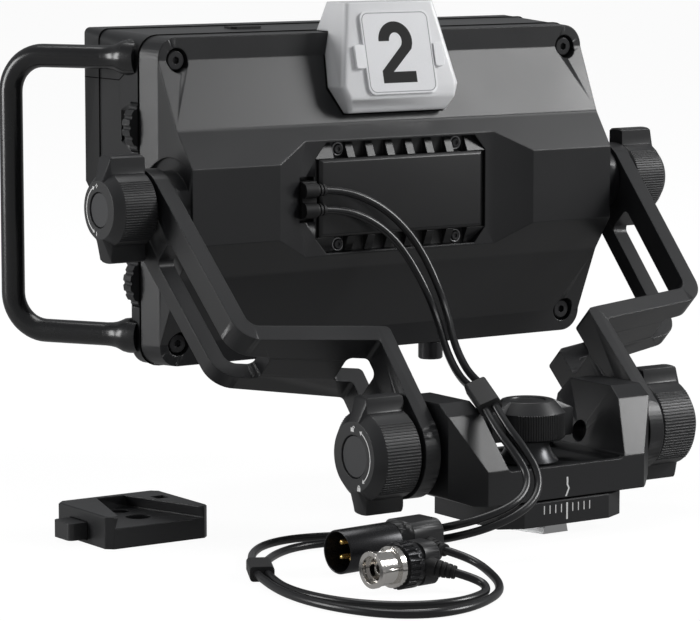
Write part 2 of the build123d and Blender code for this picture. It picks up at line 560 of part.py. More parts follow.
# Clamp knobs with two wings and a pale inset disc
def knob(x0, x1, radius, wing, at, disc):
    y, z = at
    deep = 3.4
    shape = rod((x0, y, z), (x1 - deep, y, z), radius)
    shape += rod((x1 - deep, y, z), (x1, y, z), radius, radius - 3.2)
    lobe = block(x0 + 0.6, x1 - deep - 0.4, y - 5.0, y + 5.0, z - wing, z + wing)
    lobe = fillet(lobe.edges().filter_by(Axis.X), 2.4)
    lobe &= rod((x0, y, z), (x1, y, z), wing)
    shape += lobe
    shape -= rod((x1 - 0.8, y, z), (x1 + 1, y, z), disc)
    shape -= rod((x0 - 1, y, z), (x1 - 6.0, y, z), THREAD_RADIUS + SHAFT_CLEARANCE)
    return shape


upper = knob(UPPER_KNOB_X, UPPER_KNOB_X + 21.3, UPPER_KNOB_RADIUS, UPPER_WING_RADIUS, (TILT_Y, HEAD_Z), 8.0)
save("right_tilt_knob", upper)
save("left_tilt_knob", mirror_x(upper))
lower = knob(LOWER_KNOB_X, LOWER_KNOB_X + 23.1, LOWER_KNOB_RADIUS, LOWER_WING_RADIUS, (FOLD_Y, FOLD_Z), 9.5)
save("right_fold_knob", lower)
save("left_fold_knob", mirror_x(lower))
pan_z0 = BRACKET_FLOOR_Z + 0.1
pan = rod((0, 0, pan_z0), (0, 0, pan_z0 + 7.5), 14.0, 9.5)
pan += rod((0, 0, pan_z0 + 7.5), (0, 0, 41.0), 9.5)
pan += rod((0, 0, 40.0), (0, 0, 54.0), PAN_KNOB_RADIUS)
pan += rod((0, 0, 54.0), (0, 0, 58.0), PAN_KNOB_RADIUS, PAN_KNOB_RADIUS - 5.0)
lobe = block(-23.2, 23.2, -4.5, 4.5, 40.4, 53.4)
pan += fillet(lobe.edges().filter_by(Axis.Z), 2.0)
pan -= rod((0, 0, 57.3), (0, 0, 60), 8.0)
pan -= rod((0, 0, 20), (0, 0, 50.5), THREAD_RADIUS + SHAFT_CLEARANCE)
save("pan_knob", pan)

# Pan bracket, a milled U with its two ears
ear_side = [(BRACKET_FRONT_Y, BRACKET_BOTTOM_Z), (BRACKET_FRONT_Y, BRACKET_LIP_Z + 1)]
ear_side += [(-17.0, 57.0), (-10.0, EAR_TOP_Z), (20.0, EAR_TOP_Z), (BRACKET_BACK_Y, 54.0)]
ear_side += [(BRACKET_BACK_Y, BRACKET_BOTTOM_Z)]
bracket = prism_x(ear_side, -BRACKET_HALF_WIDTH, BRACKET_HALF_WIDTH)
cut = 12.6
hw = BRACKET_HALF_WIDTH
plan_outline = [(hw - cut, BRACKET_FRONT_Y), (hw, BRACKET_FRONT_Y + cut)]
plan_outline += [(hw, BRACKET_BACK_Y - cut), (hw - cut, BRACKET_BACK_Y)]
bracket &= prism_z(mirrored(plan_outline), 0, 80)
ends = [(hw - 8.0, BRACKET_BOTTOM_Z), (hw, BRACKET_BOTTOM_Z + 3.0), (hw, 80.0)]
bracket &= prism_y(mirrored(ends), -40, 40)
floor_half = hw - 24.1
opening = prism_y(mirrored([(floor_half, BRACKET_LIP_Z), (hw - 16.6, EAR_TOP_Z),
                            (hw - 14.6, EAR_TOP_Z + 8.0)]), -40, 40)
opening = fillet(opening.edges().filter_by(Axis.Y).group_by(Axis.Z)[0], 2.5)
bracket -= opening
bracket -= block(-floor_half, floor_half, BRACKET_FRONT_Y + 3, BRACKET_BACK_Y - 3,
                 BRACKET_FLOOR_Z, BRACKET_LIP_Z + 3)
bracket -= rod((0, 0, 0), (0, 0, 60), STUD_RADIUS + SHAFT_CLEARANCE)
for sx in (-1, 1):
    bracket -= rod((sx * (hw - 26), FOLD_Y, FOLD_Z), (sx * (hw + 4), FOLD_Y, FOLD_Z), STUD_RADIUS)
save("pan_bracket", bracket)
washers = []
for sx in (-1, 1):
    ring = rod((sx * hw, FOLD_Y, FOLD_Z), (sx * (hw + 0.9), FOLD_Y, FOLD_Z), 13.0)
    ring -= rod((sx * (hw - 6), FOLD_Y, FOLD_Z), (sx * (hw + 4), FOLD_Y, FOLD_Z), STUD_RADIUS)
    washers.append(ring)
fold_studs = []
for sx in (-1, 1):
    pin_end = LOWER_KNOB_X - 0.4
    pin = rod((sx * (hw - 15.6), FOLD_Y, FOLD_Z), (sx * pin_end, FOLD_Y, FOLD_Z), STUD_RADIUS)
    pin += rod((sx * pin_end, FOLD_Y, FOLD_Z), (sx * (pin_end + 15.2), FOLD_Y, FOLD_Z), THREAD_RADIUS)
    fold_studs.append(pin)
save("fold_studs", fold_studs)

# Foot: scale plate, pan stud, thrust washer and dovetail wedge with its screws
pw = PLATE_HALF_WIDTH
plate_plan = [(pw - 10.7, -29.5), (pw, -24.0), (pw, 24.0), (pw - 10.7, 29.5)]
scale_plate = prism_z(mirrored(plate_plan), PLATE_BOTTOM_Z, PLATE_TOP_Z)
rim = scale_plate.faces().sort_by(Axis.Z)[-1].edges()
scale_plate = chamfer(rim, 0.5)
scale_plate -= rod((0, 0, PLATE_BOTTOM_Z + 1.5), (0, 0, 30), STUD_RADIUS)
foot_screw_ys = (-13.0, 13.0)
for y in foot_screw_ys:
    scale_plate -= rod((0, y, 0), (0, y, 13.0), 2.0)
save("scale_plate", scale_plate)
pan_stud = rod((0, 0, PLATE_BOTTOM_Z + 1.5), (0, 0, BRACKET_FLOOR_Z), STUD_RADIUS)
pan_stud += rod((0, 0, BRACKET_FLOOR_Z), (0, 0, 49.5), THREAD_RADIUS)
save("pan_stud", pan_stud)
pan_washer = rod((0, 0, PLATE_TOP_Z), (0, 0, BRACKET_BOTTOM_Z - 0.1), 20.0)
pan_washer -= rod((0, 0, PLATE_TOP_Z - 1), (0, 0, 20), STUD_RADIUS)
save("thrust_washers", washers + [pan_washer])


def dovetail(y0, y1, z0, z1, low0, low1, narrow, grow):
    faces = []
    for y, half in ((y0, low0), (y1, low1)):
        plane = Plane(origin=(0, y, 0), x_dir=(1, 0, 0), z_dir=(0, 1, 0))
        pts = [(half + grow, -z0), (half - narrow + grow, -z1)]
        faces.append(plane * Polygon(*mirrored(pts), align=None))
    return loft(faces, ruled=True)


flank_slope = 1.2 / PLATE_BOTTOM_Z
wedge = dovetail(-21.3, 21.0, -1.0, PLATE_BOTTOM_Z + 1.0, 6.9, 20.9,
                 flank_slope * (PLATE_BOTTOM_Z + 2.0), flank_slope)
wedge &= block(-30, 30, -30, 30, 0.0, PLATE_BOTTOM_Z)
for y in foot_screw_ys:
    wedge -= rod((0, y, -1), (0, y, 2.6), 3.9) + rod((0, y, -1), (0, y, 8), 2.0)
save("dovetail_wedge", wedge)
foot_screws = []
for y in foot_screw_ys:
    screw = rod((0, y, 0.4), (0, y, 2.6), 3.9) + rod((0, y, 2.6), (0, y, 12.8), 2.0)
    screw -= extrude(Plane(origin=(0, y, 0.3)) * RegularPolygon(1.5, 6), 1.4)
    foot_screws.append(screw)
save("foot_screws", foot_screws)

# Receiver shoe, taken off the foot, with a sprung push button and latch
sx0, sx1, sy0, sy1 = -186.6, -134.0, 57.0, 104.0
shoe = block(sx0, sx1, sy0, sy1, 0.0, SHOE_HEIGHT)
shoe = chamfer(shoe.edges().filter_by(Axis.Z), 3.0)
shoe = chamfer(shoe.faces().sort_by(Axis.Z)[-1].edges(), 0.6)
shoe_mid = (sx0 + sx1) / 2
slot_floor = 9.2
channel = dovetail(sy0 - 1, 100.0, slot_floor, SHOE_HEIGHT + 0.01, 21.5 + 1.5, 7.3 + 1.5, 1.6, 0.0)
shoe -= Pos(shoe_mid, 0, 0) * channel
screw_y = 75.5
pin_y = 91.5
shoe -= rod((shoe_mid, screw_y, -1), (shoe_mid, screw_y, 20), 5.6)
shoe -= rod((shoe_mid, pin_y, -1), (shoe_mid, pin_y, 20), 4.0)
shoe -= rod((shoe_mid, screw_y, -1), (shoe_mid, screw_y, 3.0), 8.0)
bar_way = block(sx0 - 1, -138.8, 81.9, 86.7, 3.2, 8.0)
button_way = block(sx0 - 1, sx0 + 8.4, 75.2, 90.8, 1.6, 9.8)
tongue_way = block(-145.2, -138.8, 83.7, 90.3, 3.2, 20.0)
shoe = shoe - bar_way - button_way - tongue_way
save("shoe_body", shoe)
button = block(sx0 - 9.0, sx0 + 1.6, 75.5, 90.5, 1.9, 9.5)
button = fillet(button.edges().filter_by(Axis.Z).group_by(Axis.X)[0], 2.5)
save("shoe_button", button)
latch = block(sx0 + 1.6, -141.2, 82.2, 86.4, 3.5, 7.7)
latch += block(-144.9, -141.2, 84.0, 90.0, 3.5, 13.4)
latch -= block(-144.9 - 9, -142.4, 60, 100, 12.4, 20)
save("shoe_latch", latch)
spring = rod((sx0 + 1.7, 78.6, 5.7), (sx0 + 8.3, 78.6, 5.7), 2.2)
spring -= rod((sx0, 78.6, 5.7), (sx0 + 10, 78.6, 5.7), 1.6)
save("shoe_spring", spring)

# Four-way plug: sleeve, insert with gold pins, right-angle body and its strain relief
plug_u = Vector(0.9963, 0.0862, 0.0)
mouth = Vector(-132.5, -42.0, XLR_RADIUS + 0.05)


def plug_rod(a, b, r, r2=None):
    p = mouth + plug_u * a
    q = mouth + plug_u * b
    return rod(p, q, r, r2)


shell = plug_rod(0.0, 29.0, XLR_RADIUS) - plug_rod(-1.0, 24.0, XLR_RADIUS - 1.0)
save("xlr_shell", shell)
insert = plug_rod(17.5, 24.0, XLR_RADIUS - 1.0)
side_v = Vector(-0.0862, 0.9963, 0.0)
up_v = Vector(0, 0, 1)
pins = []
for a in (45, 135, 225, 315):
    off = side_v * (4.6 * math.cos(math.radians(a))) + up_v * (4.6 * math.sin(math.radians(a)))
    p = mouth + plug_u * 4.5 + off
    q = mouth + plug_u * 17.5 + off
    back = mouth + plug_u * 23.0 + off
    pin = rod(p, back, 1.15)
    insert -= rod(q, back, 1.15)
    pins.append(pin)
save("xlr_insert", insert)
save("xlr_pins", pins)
body_plane = Plane(origin=mouth + plug_u * 29.0, x_dir=side_v, z_dir=plug_u)
body = extrude(body_plane * Circle(XLR_RADIUS), 14.0)
elbow_box = body_plane * Pos(-1.4, 0.4, 4.0)
elbow = elbow_box * Box(20.8, 19.0, 17.0, align=low)
elbow = fillet(elbow.edges().filter_by(lambda e: abs((e % 0.5).dot(plug_u)) > 0.99), 5.5)
body += elbow
body = body - block(-200, 0, -100, 0, -5, 0.03)
rear = body.faces().sort_by(Axis.X)[-1]
body = chamfer(rear.edges(), 1.0)
save("xlr_body", body)
relief_a = Vector(-90.6, -50.0, 9.4)
relief_b = Vector(-89.6, -60.4, 8.6)
relief_u = (relief_b - relief_a).normalized()
relief = rod((relief_a - relief_u * 3.5), relief_b, 3.9, 2.7)
for i in range(3):
    g = relief_a + relief_u * (3.4 + 2.3 * i)
    ring = rod(g, (g + relief_u * 0.9), 6.0)
    core = rod((g - relief_u), (g + relief_u * 2), 2.75 - 0.15 * i)
    relief -= ring - core
save("xlr_relief", relief - body)

# Video plug: turning bayonet ring, contact core, knurled collar, elbow and relief
bnc_u = Vector(0.9956, 0.0937, 0.0)
bnc_v = Vector(-0.0937, 0.9956, 0.0)
bnc_at = Vector(-143.3, -82.7, 10.05)


def bnc_rod(a, b, r, r2=None):
    p = bnc_at + bnc_u * a
    q = bnc_at + bnc_u * b
    return rod(p, q, r, r2)


ring = bnc_rod(0.0, 1.8, BNC_RING_RADIUS + 0.5) + bnc_rod(1.8, 10.0, BNC_RING_RADIUS)
ring += bnc_rod(10.0, 12.6, BNC_RING_RADIUS + 1.5)
ring -= bnc_rod(-1.0, 14.0, 5.75)
for sgn in (-1, 1):
    slot_mid = bnc_at + bnc_u * 6.5 + up_v * (sgn * 6.6)
    slot_plane = Plane(origin=slot_mid, x_dir=bnc_u, z_dir=(0, 0, 1))
    ring -= slot_plane * Cylinder(1.15, 4.0)
save("bnc_ring", ring)
core = bnc_rod(3.0, 13.6, 5.7) - bnc_rod(2.0, 11.0, 4.6)
core += bnc_rod(11.0, 13.6, 4.8)
core += bnc_rod(4.0, 11.5, 2.6) - bnc_rod(3.0, 9.0, 1.7)
core += bnc_rod(5.0, 11.5, 0.7)
core += bnc_rod(12.7, 13.6, 8.3) - bnc_rod(12.0, 14.0, 5.6)
save("bnc_core", core)
collar = bnc_rod(13.6, 20.8, 10.0)
for i in range(24):
    a = math.radians(15 * i)
    off = bnc_v * (10.25 * math.cos(a)) + up_v * (10.25 * math.sin(a))
    p = bnc_at + bnc_u * 13.0 + off
    q = bnc_at + bnc_u * 18.5 + off
    collar -= rod(p, q, 0.75)
save("bnc_collar", collar)
bnc_plane = Plane(origin=bnc_at + bnc_u * 20.8, x_dir=bnc_v, z_dir=bnc_u)
bnc_body = extrude(bnc_plane * Circle(8.6), 3.0)
bnc_box = bnc_plane * Pos(0.0, 0.0, 1.8)
bnc_elbow = bnc_box * Box(16.4, 18.2, 8.6, align=low)
bnc_elbow = fillet(bnc_elbow.edges().filter_by(lambda e: abs((e % 0.5).dot(bnc_u)) > 0.99), 5.2)
bnc_body += bnc_elbow
bnc_body = chamfer(bnc_body.faces().sort_by(Axis.X)[-1].edges(), 1.0)
save("bnc_body", bnc_body)
tail_a = Vector(-118.0, -87.0, 9.7)
tail_b = Vector(-110.5, -96.6, 7.7)
tail_u = (tail_b - tail_a).normalized()
tail = rod(tail_a - tail_u * 0.5, tail_b, 4.3, 2.8)
for i in range(4):
    g = tail_a + tail_u * (4.2 + 2.1 * i)
    ring = rod(g, (g + tail_u * 0.8), 6.5)
    neck = rod((g - tail_u), (g + tail_u * 2), 2.9 - 0.1 * i)
    tail -= ring - neck
tail_cut = (tail - bnc_body - collar).solids()
save("bnc_relief", tail_cut.sort_by(SortBy.VOLUME)[-1])

# Cable glands side by side in the notch of the frame
gland_y = 95.0
gland_zs = (148.2, 139.0)
glands = []
for z in gland_zs:
    gland = rod((-58.4, gland_y + 0.6, z), (-52.0, gland_y, z), 3.6)
    gland += rod((-52.2, gland_y, z), (-47.0, gland_y, z), 3.2, 2.7)
    for i in range(2):
        x = -51.2 + 1.9 * i
        groove = rod((x, gland_y, z), (x + 0.8, gland_y, z), 5)
        gland -= groove - rod((x - 1, gland_y, z), (x + 2, gland_y, z), 2.5)
    glands.append(gland)
foot_pad = block(-58.4, -50.5, gland_y + 1.2, 105.0, gland_zs[1] - 4.0, gland_zs[0] + 4.0)
glands_all = glands[0] + glands[1] + foot_pad
save("cable_glands", glands_all - cover)

# Clips that hold the two cables side by side
clip_u = Vector(-0.27, -0.90, -0.33).normalized()
clip_v = Vector(0.8346, -0.4066, 0.3785)
clip_v = (clip_v - clip_u * clip_v.dot(clip_u)).normalized()
clip_mid = Vector(-35.1, -13.5, 63.95)
clip_length = 20.0
clip_plane = Plane(origin=clip_mid - clip_u * (clip_length / 2), x_dir=clip_v, z_dir=clip_u)
clip_shape = extrude(clip_plane * RectangleRounded(10.4, 6.4, 1.6), clip_length)
save("upper_cable_clip", clip_shape)
floor_u = Vector(-0.47, -0.883, 0).normalized()
floor_v = Vector(0.883, -0.47, 0).normalized()
floor_mid = Vector(-162.5, -28.5, 3.35)
floor_plane = Plane(origin=floor_mid - floor_u * (clip_length / 2), x_dir=floor_v, z_dir=floor_u)
floor_clip = extrude(floor_plane * RectangleRounded(10.4, 6.4, 1.6), clip_length)
save("lower_cable_clip", floor_clip)

# Cable routes, each in three free stretches between glands, clips and plugs
half = CABLE_PITCH / 2
gap = 0.55
bite = 1.2


def at_clip(mid_point, u, v, side, along_by):
    p = mid_point + u * along_by + v * (side * half)
    return (round(p.X, 2), round(p.Y, 2), round(p.Z, 2))


reach = clip_length / 2
a_head = [(-48.2, 95.0, 148.2), (-40.0, 94.9, 147.7), (-29.0, 93.6, 144.9), (-17.0, 91.6, 138.9),
          (-6.0, 89.6, 129.6), (2.8, 87.0, 117.5), (8.2, 81.0, 101.0), (4.6, 68.0, 88.0),
          (-5.5, 50.0, 79.8), (-15.5, 30.0, 73.6), (-25.2, 9.0, 69.5)]
b_head = [(-48.2, 95.0, 139.0), (-40.5, 94.9, 138.6), (-30.5, 93.6, 136.4), (-19.8, 91.8, 131.2),
          (-10.2, 89.9, 123.0), (-2.6, 87.4, 112.0), (2.8, 81.4, 97.2), (-0.2, 68.6, 84.8),
          (-9.8, 50.4, 76.8), (-19.5, 30.6, 71.0), (-28.9, 10.0, 67.3)]
a_head.append(at_clip(clip_mid, clip_u, clip_v, 1, -reach - gap))
b_head.append(at_clip(clip_mid, clip_u, clip_v, -1, -reach - gap))
a_mid = [at_clip(clip_mid, clip_u, clip_v, 1, reach - bite), (-36.6, -32.5, 53.8),
         (-34.2, -42.5, 44.8), (-31.6, -50.4, 34.0), (-38.6, -57.4, 25.0),
         (-51.5, -59.8, 19.2), (-64.5, -55.6, 14.2), (-73.5, -45.0, 9.9), (-75.2, -31.0, 6.4),
         (-74.8, -16.0, 3.6), (-81.0, -2.6, 2.1), (-92.5, 5.6, 1.95), (-106.5, 9.6, 1.95),
         (-120.5, 8.6, 1.95), (-132.8, 2.6, 1.95), (-144.0, -6.8, 2.3)]
b_mid = [at_clip(clip_mid, clip_u, clip_v, -1, reach - bite), (-41.2, -31.5, 52.0),
         (-38.8, -41.5, 43.2), (-36.4, -48.4, 34.2), (-42.4, -54.4, 27.2),
         (-53.5, -57.4, 22.6), (-66.0, -53.6, 18.4), (-75.4, -43.4, 14.4), (-76.4, -28.5, 10.4),
         (-72.2, -12.5, 6.8), (-73.0, 3.5, 3.6), (-82.5, 15.0, 2.0), (-98.0, 23.0, 1.95),
         (-114.5, 25.6, 1.95), (-130.0, 20.2, 1.95), (-142.5, 8.8, 1.95), (-152.0, -5.0, 2.4)]
a_mid.append(at_clip(floor_mid, floor_u, floor_v, 1, -reach - gap))
b_mid.append(at_clip(floor_mid, floor_u, floor_v, -1, -reach - gap))
a_end = [at_clip(floor_mid, floor_u, floor_v, 1, reach - bite), (-168.0, -48.0, 2.4),
         (-171.0, -64.0, 1.95), (-170.0, -82.0, 1.95), (-164.5, -99.0, 1.95),
         (-154.5, -112.0, 1.95), (-141.5, -119.8, 1.95), (-128.0, -121.8, 1.95),
         (-116.2, -118.8, 1.95), (-105.4, -112.6, 2.3), (-102.8, -103.8, 4.9)]
b_end = [at_clip(floor_mid, floor_u, floor_v, -1, reach - bite), (-172.8, -50.0, 2.4),
         (-176.2, -68.0, 1.95), (-177.0, -88.0, 1.95), (-173.0, -108.0, 1.95),
         (-164.4, -125.0, 1.95), (-150.0, -134.6, 1.95), (-133.5, -134.4, 1.95),
         (-118.0, -127.8, 1.95), (-103.0, -117.0, 1.95), (-91.8, -102.0, 1.95),
         (-84.2, -86.0, 2.3), (-81.6, -73.6, 4.2), (-84.8, -65.2, 6.8)]
a_last = relief_b - relief_u * bite
b_end.append((round(a_last.X, 2), round(a_last.Y, 2), round(a_last.Z, 2)))
b_last = tail_b - tail_u * bite
a_end.append((round(b_last.X, 2), round(b_last.Y, 2), round(b_last.Z, 2)))
routes = {"video_cable_upper": a_head, "video_cable_middle": a_mid, "video_cable_end": a_end,
          "power_cable_upper": b_head, "power_cable_middle": b_mid, "power_cable_end": b_end}
for name, points in routes.items():
    solid, radii, length = tube(points, CABLE_RADIUS)
    expected = math.pi * CABLE_RADIUS ** 2 * length
    print(name, "length", round(length, 1), "volume ratio", round(solid.volume / expected, 4))
    print("  radii", [round(r, 1) for r in radii])
    save(name, solid)
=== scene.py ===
import math

import bmesh
import bpy
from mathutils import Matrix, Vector


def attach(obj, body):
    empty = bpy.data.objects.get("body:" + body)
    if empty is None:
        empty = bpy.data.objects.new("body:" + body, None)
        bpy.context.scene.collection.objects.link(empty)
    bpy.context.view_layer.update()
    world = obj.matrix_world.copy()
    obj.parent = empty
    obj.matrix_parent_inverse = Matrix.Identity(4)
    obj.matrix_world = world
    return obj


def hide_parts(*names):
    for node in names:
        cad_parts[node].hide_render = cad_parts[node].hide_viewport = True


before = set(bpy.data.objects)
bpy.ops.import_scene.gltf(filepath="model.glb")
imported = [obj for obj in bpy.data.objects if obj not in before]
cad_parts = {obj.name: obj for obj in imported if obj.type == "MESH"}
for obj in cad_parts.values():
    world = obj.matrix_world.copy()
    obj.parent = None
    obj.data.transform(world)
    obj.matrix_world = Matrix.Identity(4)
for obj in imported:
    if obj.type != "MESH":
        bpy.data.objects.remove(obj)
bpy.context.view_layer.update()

# Scale plate: the fixed plate of the foot, machined aluminium with a black anodised
# coat, screwed to the wedge below it. Its front face carries the white pan scale.
mm = 0.001


class Wire:
    """A socket in a finish; sums on it add the Math nodes."""

    def __init__(self, tree, socket=None):
        self.tree = tree
        self.socket = socket

    def node(self, kind, settings=None, sockets=None, out=0):
        """Adds a node: its settings, then the values or links of its sockets."""
        made = self.tree.nodes.new(kind)
        for name, value in (settings or {}).items():
            setattr(made, name, value)
        for name, value in (sockets or {}).items():
            if isinstance(value, Wire):
                self.tree.links.new(value.socket, made.inputs[name])
            else:
                made.inputs[name].default_value = value
        return Wire(self.tree, made.outputs[out] if len(made.outputs) else None)

    def sum(self, kind, a, b):
        return self.node("ShaderNodeMath", {"operation": kind}, {0: a, 1: b})

    def __add__(self, other):
        return self.sum("ADD", self, other)

    __radd__ = __add__

    def __sub__(self, other):
        return self.sum("SUBTRACT", self, other)

    def __rsub__(self, other):
        return self.sum("SUBTRACT", other, self)

    def __mul__(self, other):
        return self.sum("MULTIPLY", self, other)

    __rmul__ = __mul__


def empty_finish(name):
    """Starts a finish that holds no node yet."""
    made = bpy.data.materials.new(name)
    made.use_nodes = True
    made.node_tree.nodes.clear()
    return made, Wire(made.node_tree)


def grained(
    name, colour, rough, grain, height, speck=0.1, edge=0.35, gloss=0.5, metal=0.0, stretch=None
):
    """A finish with a grain of so many millimetres, its height, and edges rounded a little."""
    made, start = empty_finish(name)
    place = start.node("ShaderNodeTexCoord", out="Object")
    if stretch:
        place = start.node("ShaderNodeMapping", {}, {"Vector": place, "Scale": stretch})
    scale = 1.0 / (grain * mm)
    fine = start.node("ShaderNodeTexNoise", {}, {"Vector": place, "Scale": scale, "Detail": 3.0})
    broad = start.node("ShaderNodeTexNoise", {}, {"Vector": place, "Scale": 24.0, "Detail": 4.0})
    tone = (fine - 0.5) * speck + (broad - 0.5) * (speck * 0.8) + 1.0
    shade = start.node("ShaderNodeVectorMath", {"operation": "SCALE"}, {0: colour, "Scale": tone})
    rounded = start.node("ShaderNodeBevel", {"samples": 4}, {"Radius": edge * mm})
    raised = {"Distance": height * mm, "Height": fine, "Normal": rounded}
    bump = start.node("ShaderNodeBump", {}, raised)
    skin = start.node(
        "ShaderNodeBsdfPrincipled",
        {},
        {
            "Base Color": shade,
            "Roughness": (fine - 0.5) * 0.12 + (broad - 0.5) * 0.14 + rough,
            "Metallic": metal,
            "Specular IOR Level": gloss,
            "Normal": bump,
        },
    )
    start.node("ShaderNodeOutputMaterial", {}, {"Surface": skin})
    return made


def dress(piece, made):
    """Puts one finish on the whole piece."""
    if not piece.material_slots:
        piece.data.materials.append(made)
    for slot in piece.material_slots:
        slot.material = made


def fit(piece, made, slot, body, *nodes):
    """Finishes a piece, lets it move with its body and stand for its solids."""
    dress(piece, made)
    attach(piece, body)
    if nodes:
        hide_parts(*nodes)
    return piece


def only(piece):
    """Selects one piece and nothing else."""
    bpy.ops.object.select_all(action="DESELECT")
    piece.select_set(True)
    bpy.context.view_layer.objects.active = piece


def joined_copy(node, name, crease=13.0):
    """Copies a solid with its loose triangles joined and its round faces smooth."""
    piece = bpy.data.objects.new(name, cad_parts[node].data.copy())
    bpy.context.collection.objects.link(piece)
    piece.data.name = name
    piece.data.materials.clear()
    only(piece)
    bpy.ops.object.mode_set(mode="EDIT")
    bpy.ops.mesh.select_all(action="SELECT")
    bpy.ops.mesh.remove_doubles(threshold=1e-6)
    bpy.ops.object.mode_set(mode="OBJECT")
    bpy.ops.object.shade_smooth_by_angle(angle=math.radians(crease))
    return piece


anodised = grained("black anodised", (0.012, 0.0123, 0.0135), 0.40, 0.35, 0.010, gloss=0.5)
plate = joined_copy("scale_plate", "foot_scale_plate")
fit(plate, anodised, "black_casting", "foot", "scale_plate")

# Scale and index marks: white enamel in shallow engraved lines. Four short lines stand
# each side of a long one on the plate, and a kinked line marks the bracket above them.
enamel = grained("white enamel", (0.80, 0.80, 0.79), 0.45, 0.2, 0.004, 0.03, edge=0.02)


def marks(name, outlines, origin, right, up, lift=0.05):
    """Flat marks from outlines in millimetres on a face, with its right and up ways."""
    right = Vector(right).normalized()
    up = Vector(up).normalized()
    mesh = bpy.data.meshes.new(name)
    shape = bmesh.new()
    for outline in outlines:
        spots = [(Vector(origin) + right * a + up * b) * mm for a, b in outline]
        shape.faces.new([shape.verts.new(spot) for spot in spots])
    shape.to_mesh(mesh)
    shape.free()
    piece = bpy.data.objects.new(name, mesh)
    bpy.context.collection.objects.link(piece)
    only(piece)
    bpy.ops.object.mode_set(mode="EDIT")
    bpy.ops.mesh.select_all(action="SELECT")
    rise = right.cross(up) * lift * mm
    bpy.ops.mesh.extrude_region_move(TRANSFORM_OT_translate={"value": rise})
    bpy.ops.mesh.select_all(action="SELECT")
    bpy.ops.mesh.normals_make_consistent(inside=False)
    bpy.ops.object.mode_set(mode="OBJECT")
    return piece


def bar(a, b, wide, high):
    """A straight mark by its middle, width and height."""
    w, h = wide / 2, high / 2
    return [(a - w, b - h), (a + w, b - h), (a + w, b + h), (a - w, b + h)]


scale_lines = [bar(0, -0.3, 0.9, 7.6)]
for step in range(1, 5):
    for side in (-1, 1):
        scale_lines.append(bar(side * 3.2 * step, 1.2, 0.5, 3.8))
scale = marks("pan_scale", scale_lines, (0, -29.5, 11.6), (1, 0, 0), (0, 0, 1))
fit(scale, enamel, "card_white", "foot")
kink = [(-0.45, 4.4), (-0.45, 0.9), (0.45, -0.7), (-1.25, -4.3)]
kink += [(-0.35, -4.3), (1.35, -0.7), (0.45, 0.9), (0.45, 4.4)]
index = marks("index_mark", [kink], (0, -29.6, 22.3), (1, 0, 0), (0, 0, 1))
fit(index, enamel, "card_white", "bracket")

# Dovetail wedge: a bare milled aluminium wedge under the plate that slides into the
# receiver. Its cutter marks run across it, and two countersunk screws hold it.
milled = grained(
    "milled aluminium", (0.66, 0.665, 0.67), 0.34, 0.5, 0.012, 0.12, 0.25, metal=1.0,
    stretch=(0.08, 1.0, 1.0),
)
steel = grained(
    "zinc plated steel", (0.50, 0.50, 0.51), 0.30, 0.3, 0.006, 0.15, 0.15, metal=1.0
)
wedge = joined_copy("dovetail_wedge", "wedge")
fit(wedge, milled, "bare_aluminium", "foot", "dovetail_wedge")
dress(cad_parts["foot_screws"], steel)
dress(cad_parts["pan_stud"], steel)

# Pan bracket: a milled aluminium U with a black coat, free to turn on the pan stud.
# Two steel studs are pressed into its ears, with polymer washers against the arms.
casting = grained(
    "charcoal coat", (0.0115, 0.0118, 0.0130), 0.37, 0.45, 0.020, 0.22, 0.8, gloss=0.55
)
polymer = grained("dark polymer", (0.05, 0.05, 0.052), 0.5, 0.4, 0.01)
bracket = joined_copy("pan_bracket", "bracket_body")
fit(bracket, casting, "black_casting", "bracket", "pan_bracket")
dress(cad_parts["thrust_washers"], polymer)
dress(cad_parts["fold_studs"], steel)

# Clamp knobs: moulded black glass-filled plastic on a threaded insert, with a fine
# straight knurl, two wings for the thumb, a bevelled face and a pressed-in grey disc.
plastic = grained("knob plastic", (0.014, 0.0143, 0.0155), 0.42, 0.3, 0.014, 0.16, 0.4, gloss=0.6)
disc_grey = grained("disc grey", (0.040, 0.0405, 0.043), 0.5, 0.35, 0.012, 0.2, 0.2)


def knob_outline(way, radius, reach, half):
    """How far out the outline lies in a way measured from across the wings."""
    across = max(abs(math.cos(way)), 1e-6)
    wing = min(reach, half / across) if abs(math.sin(way)) > 0.5 else 0.0
    return max(radius, wing)


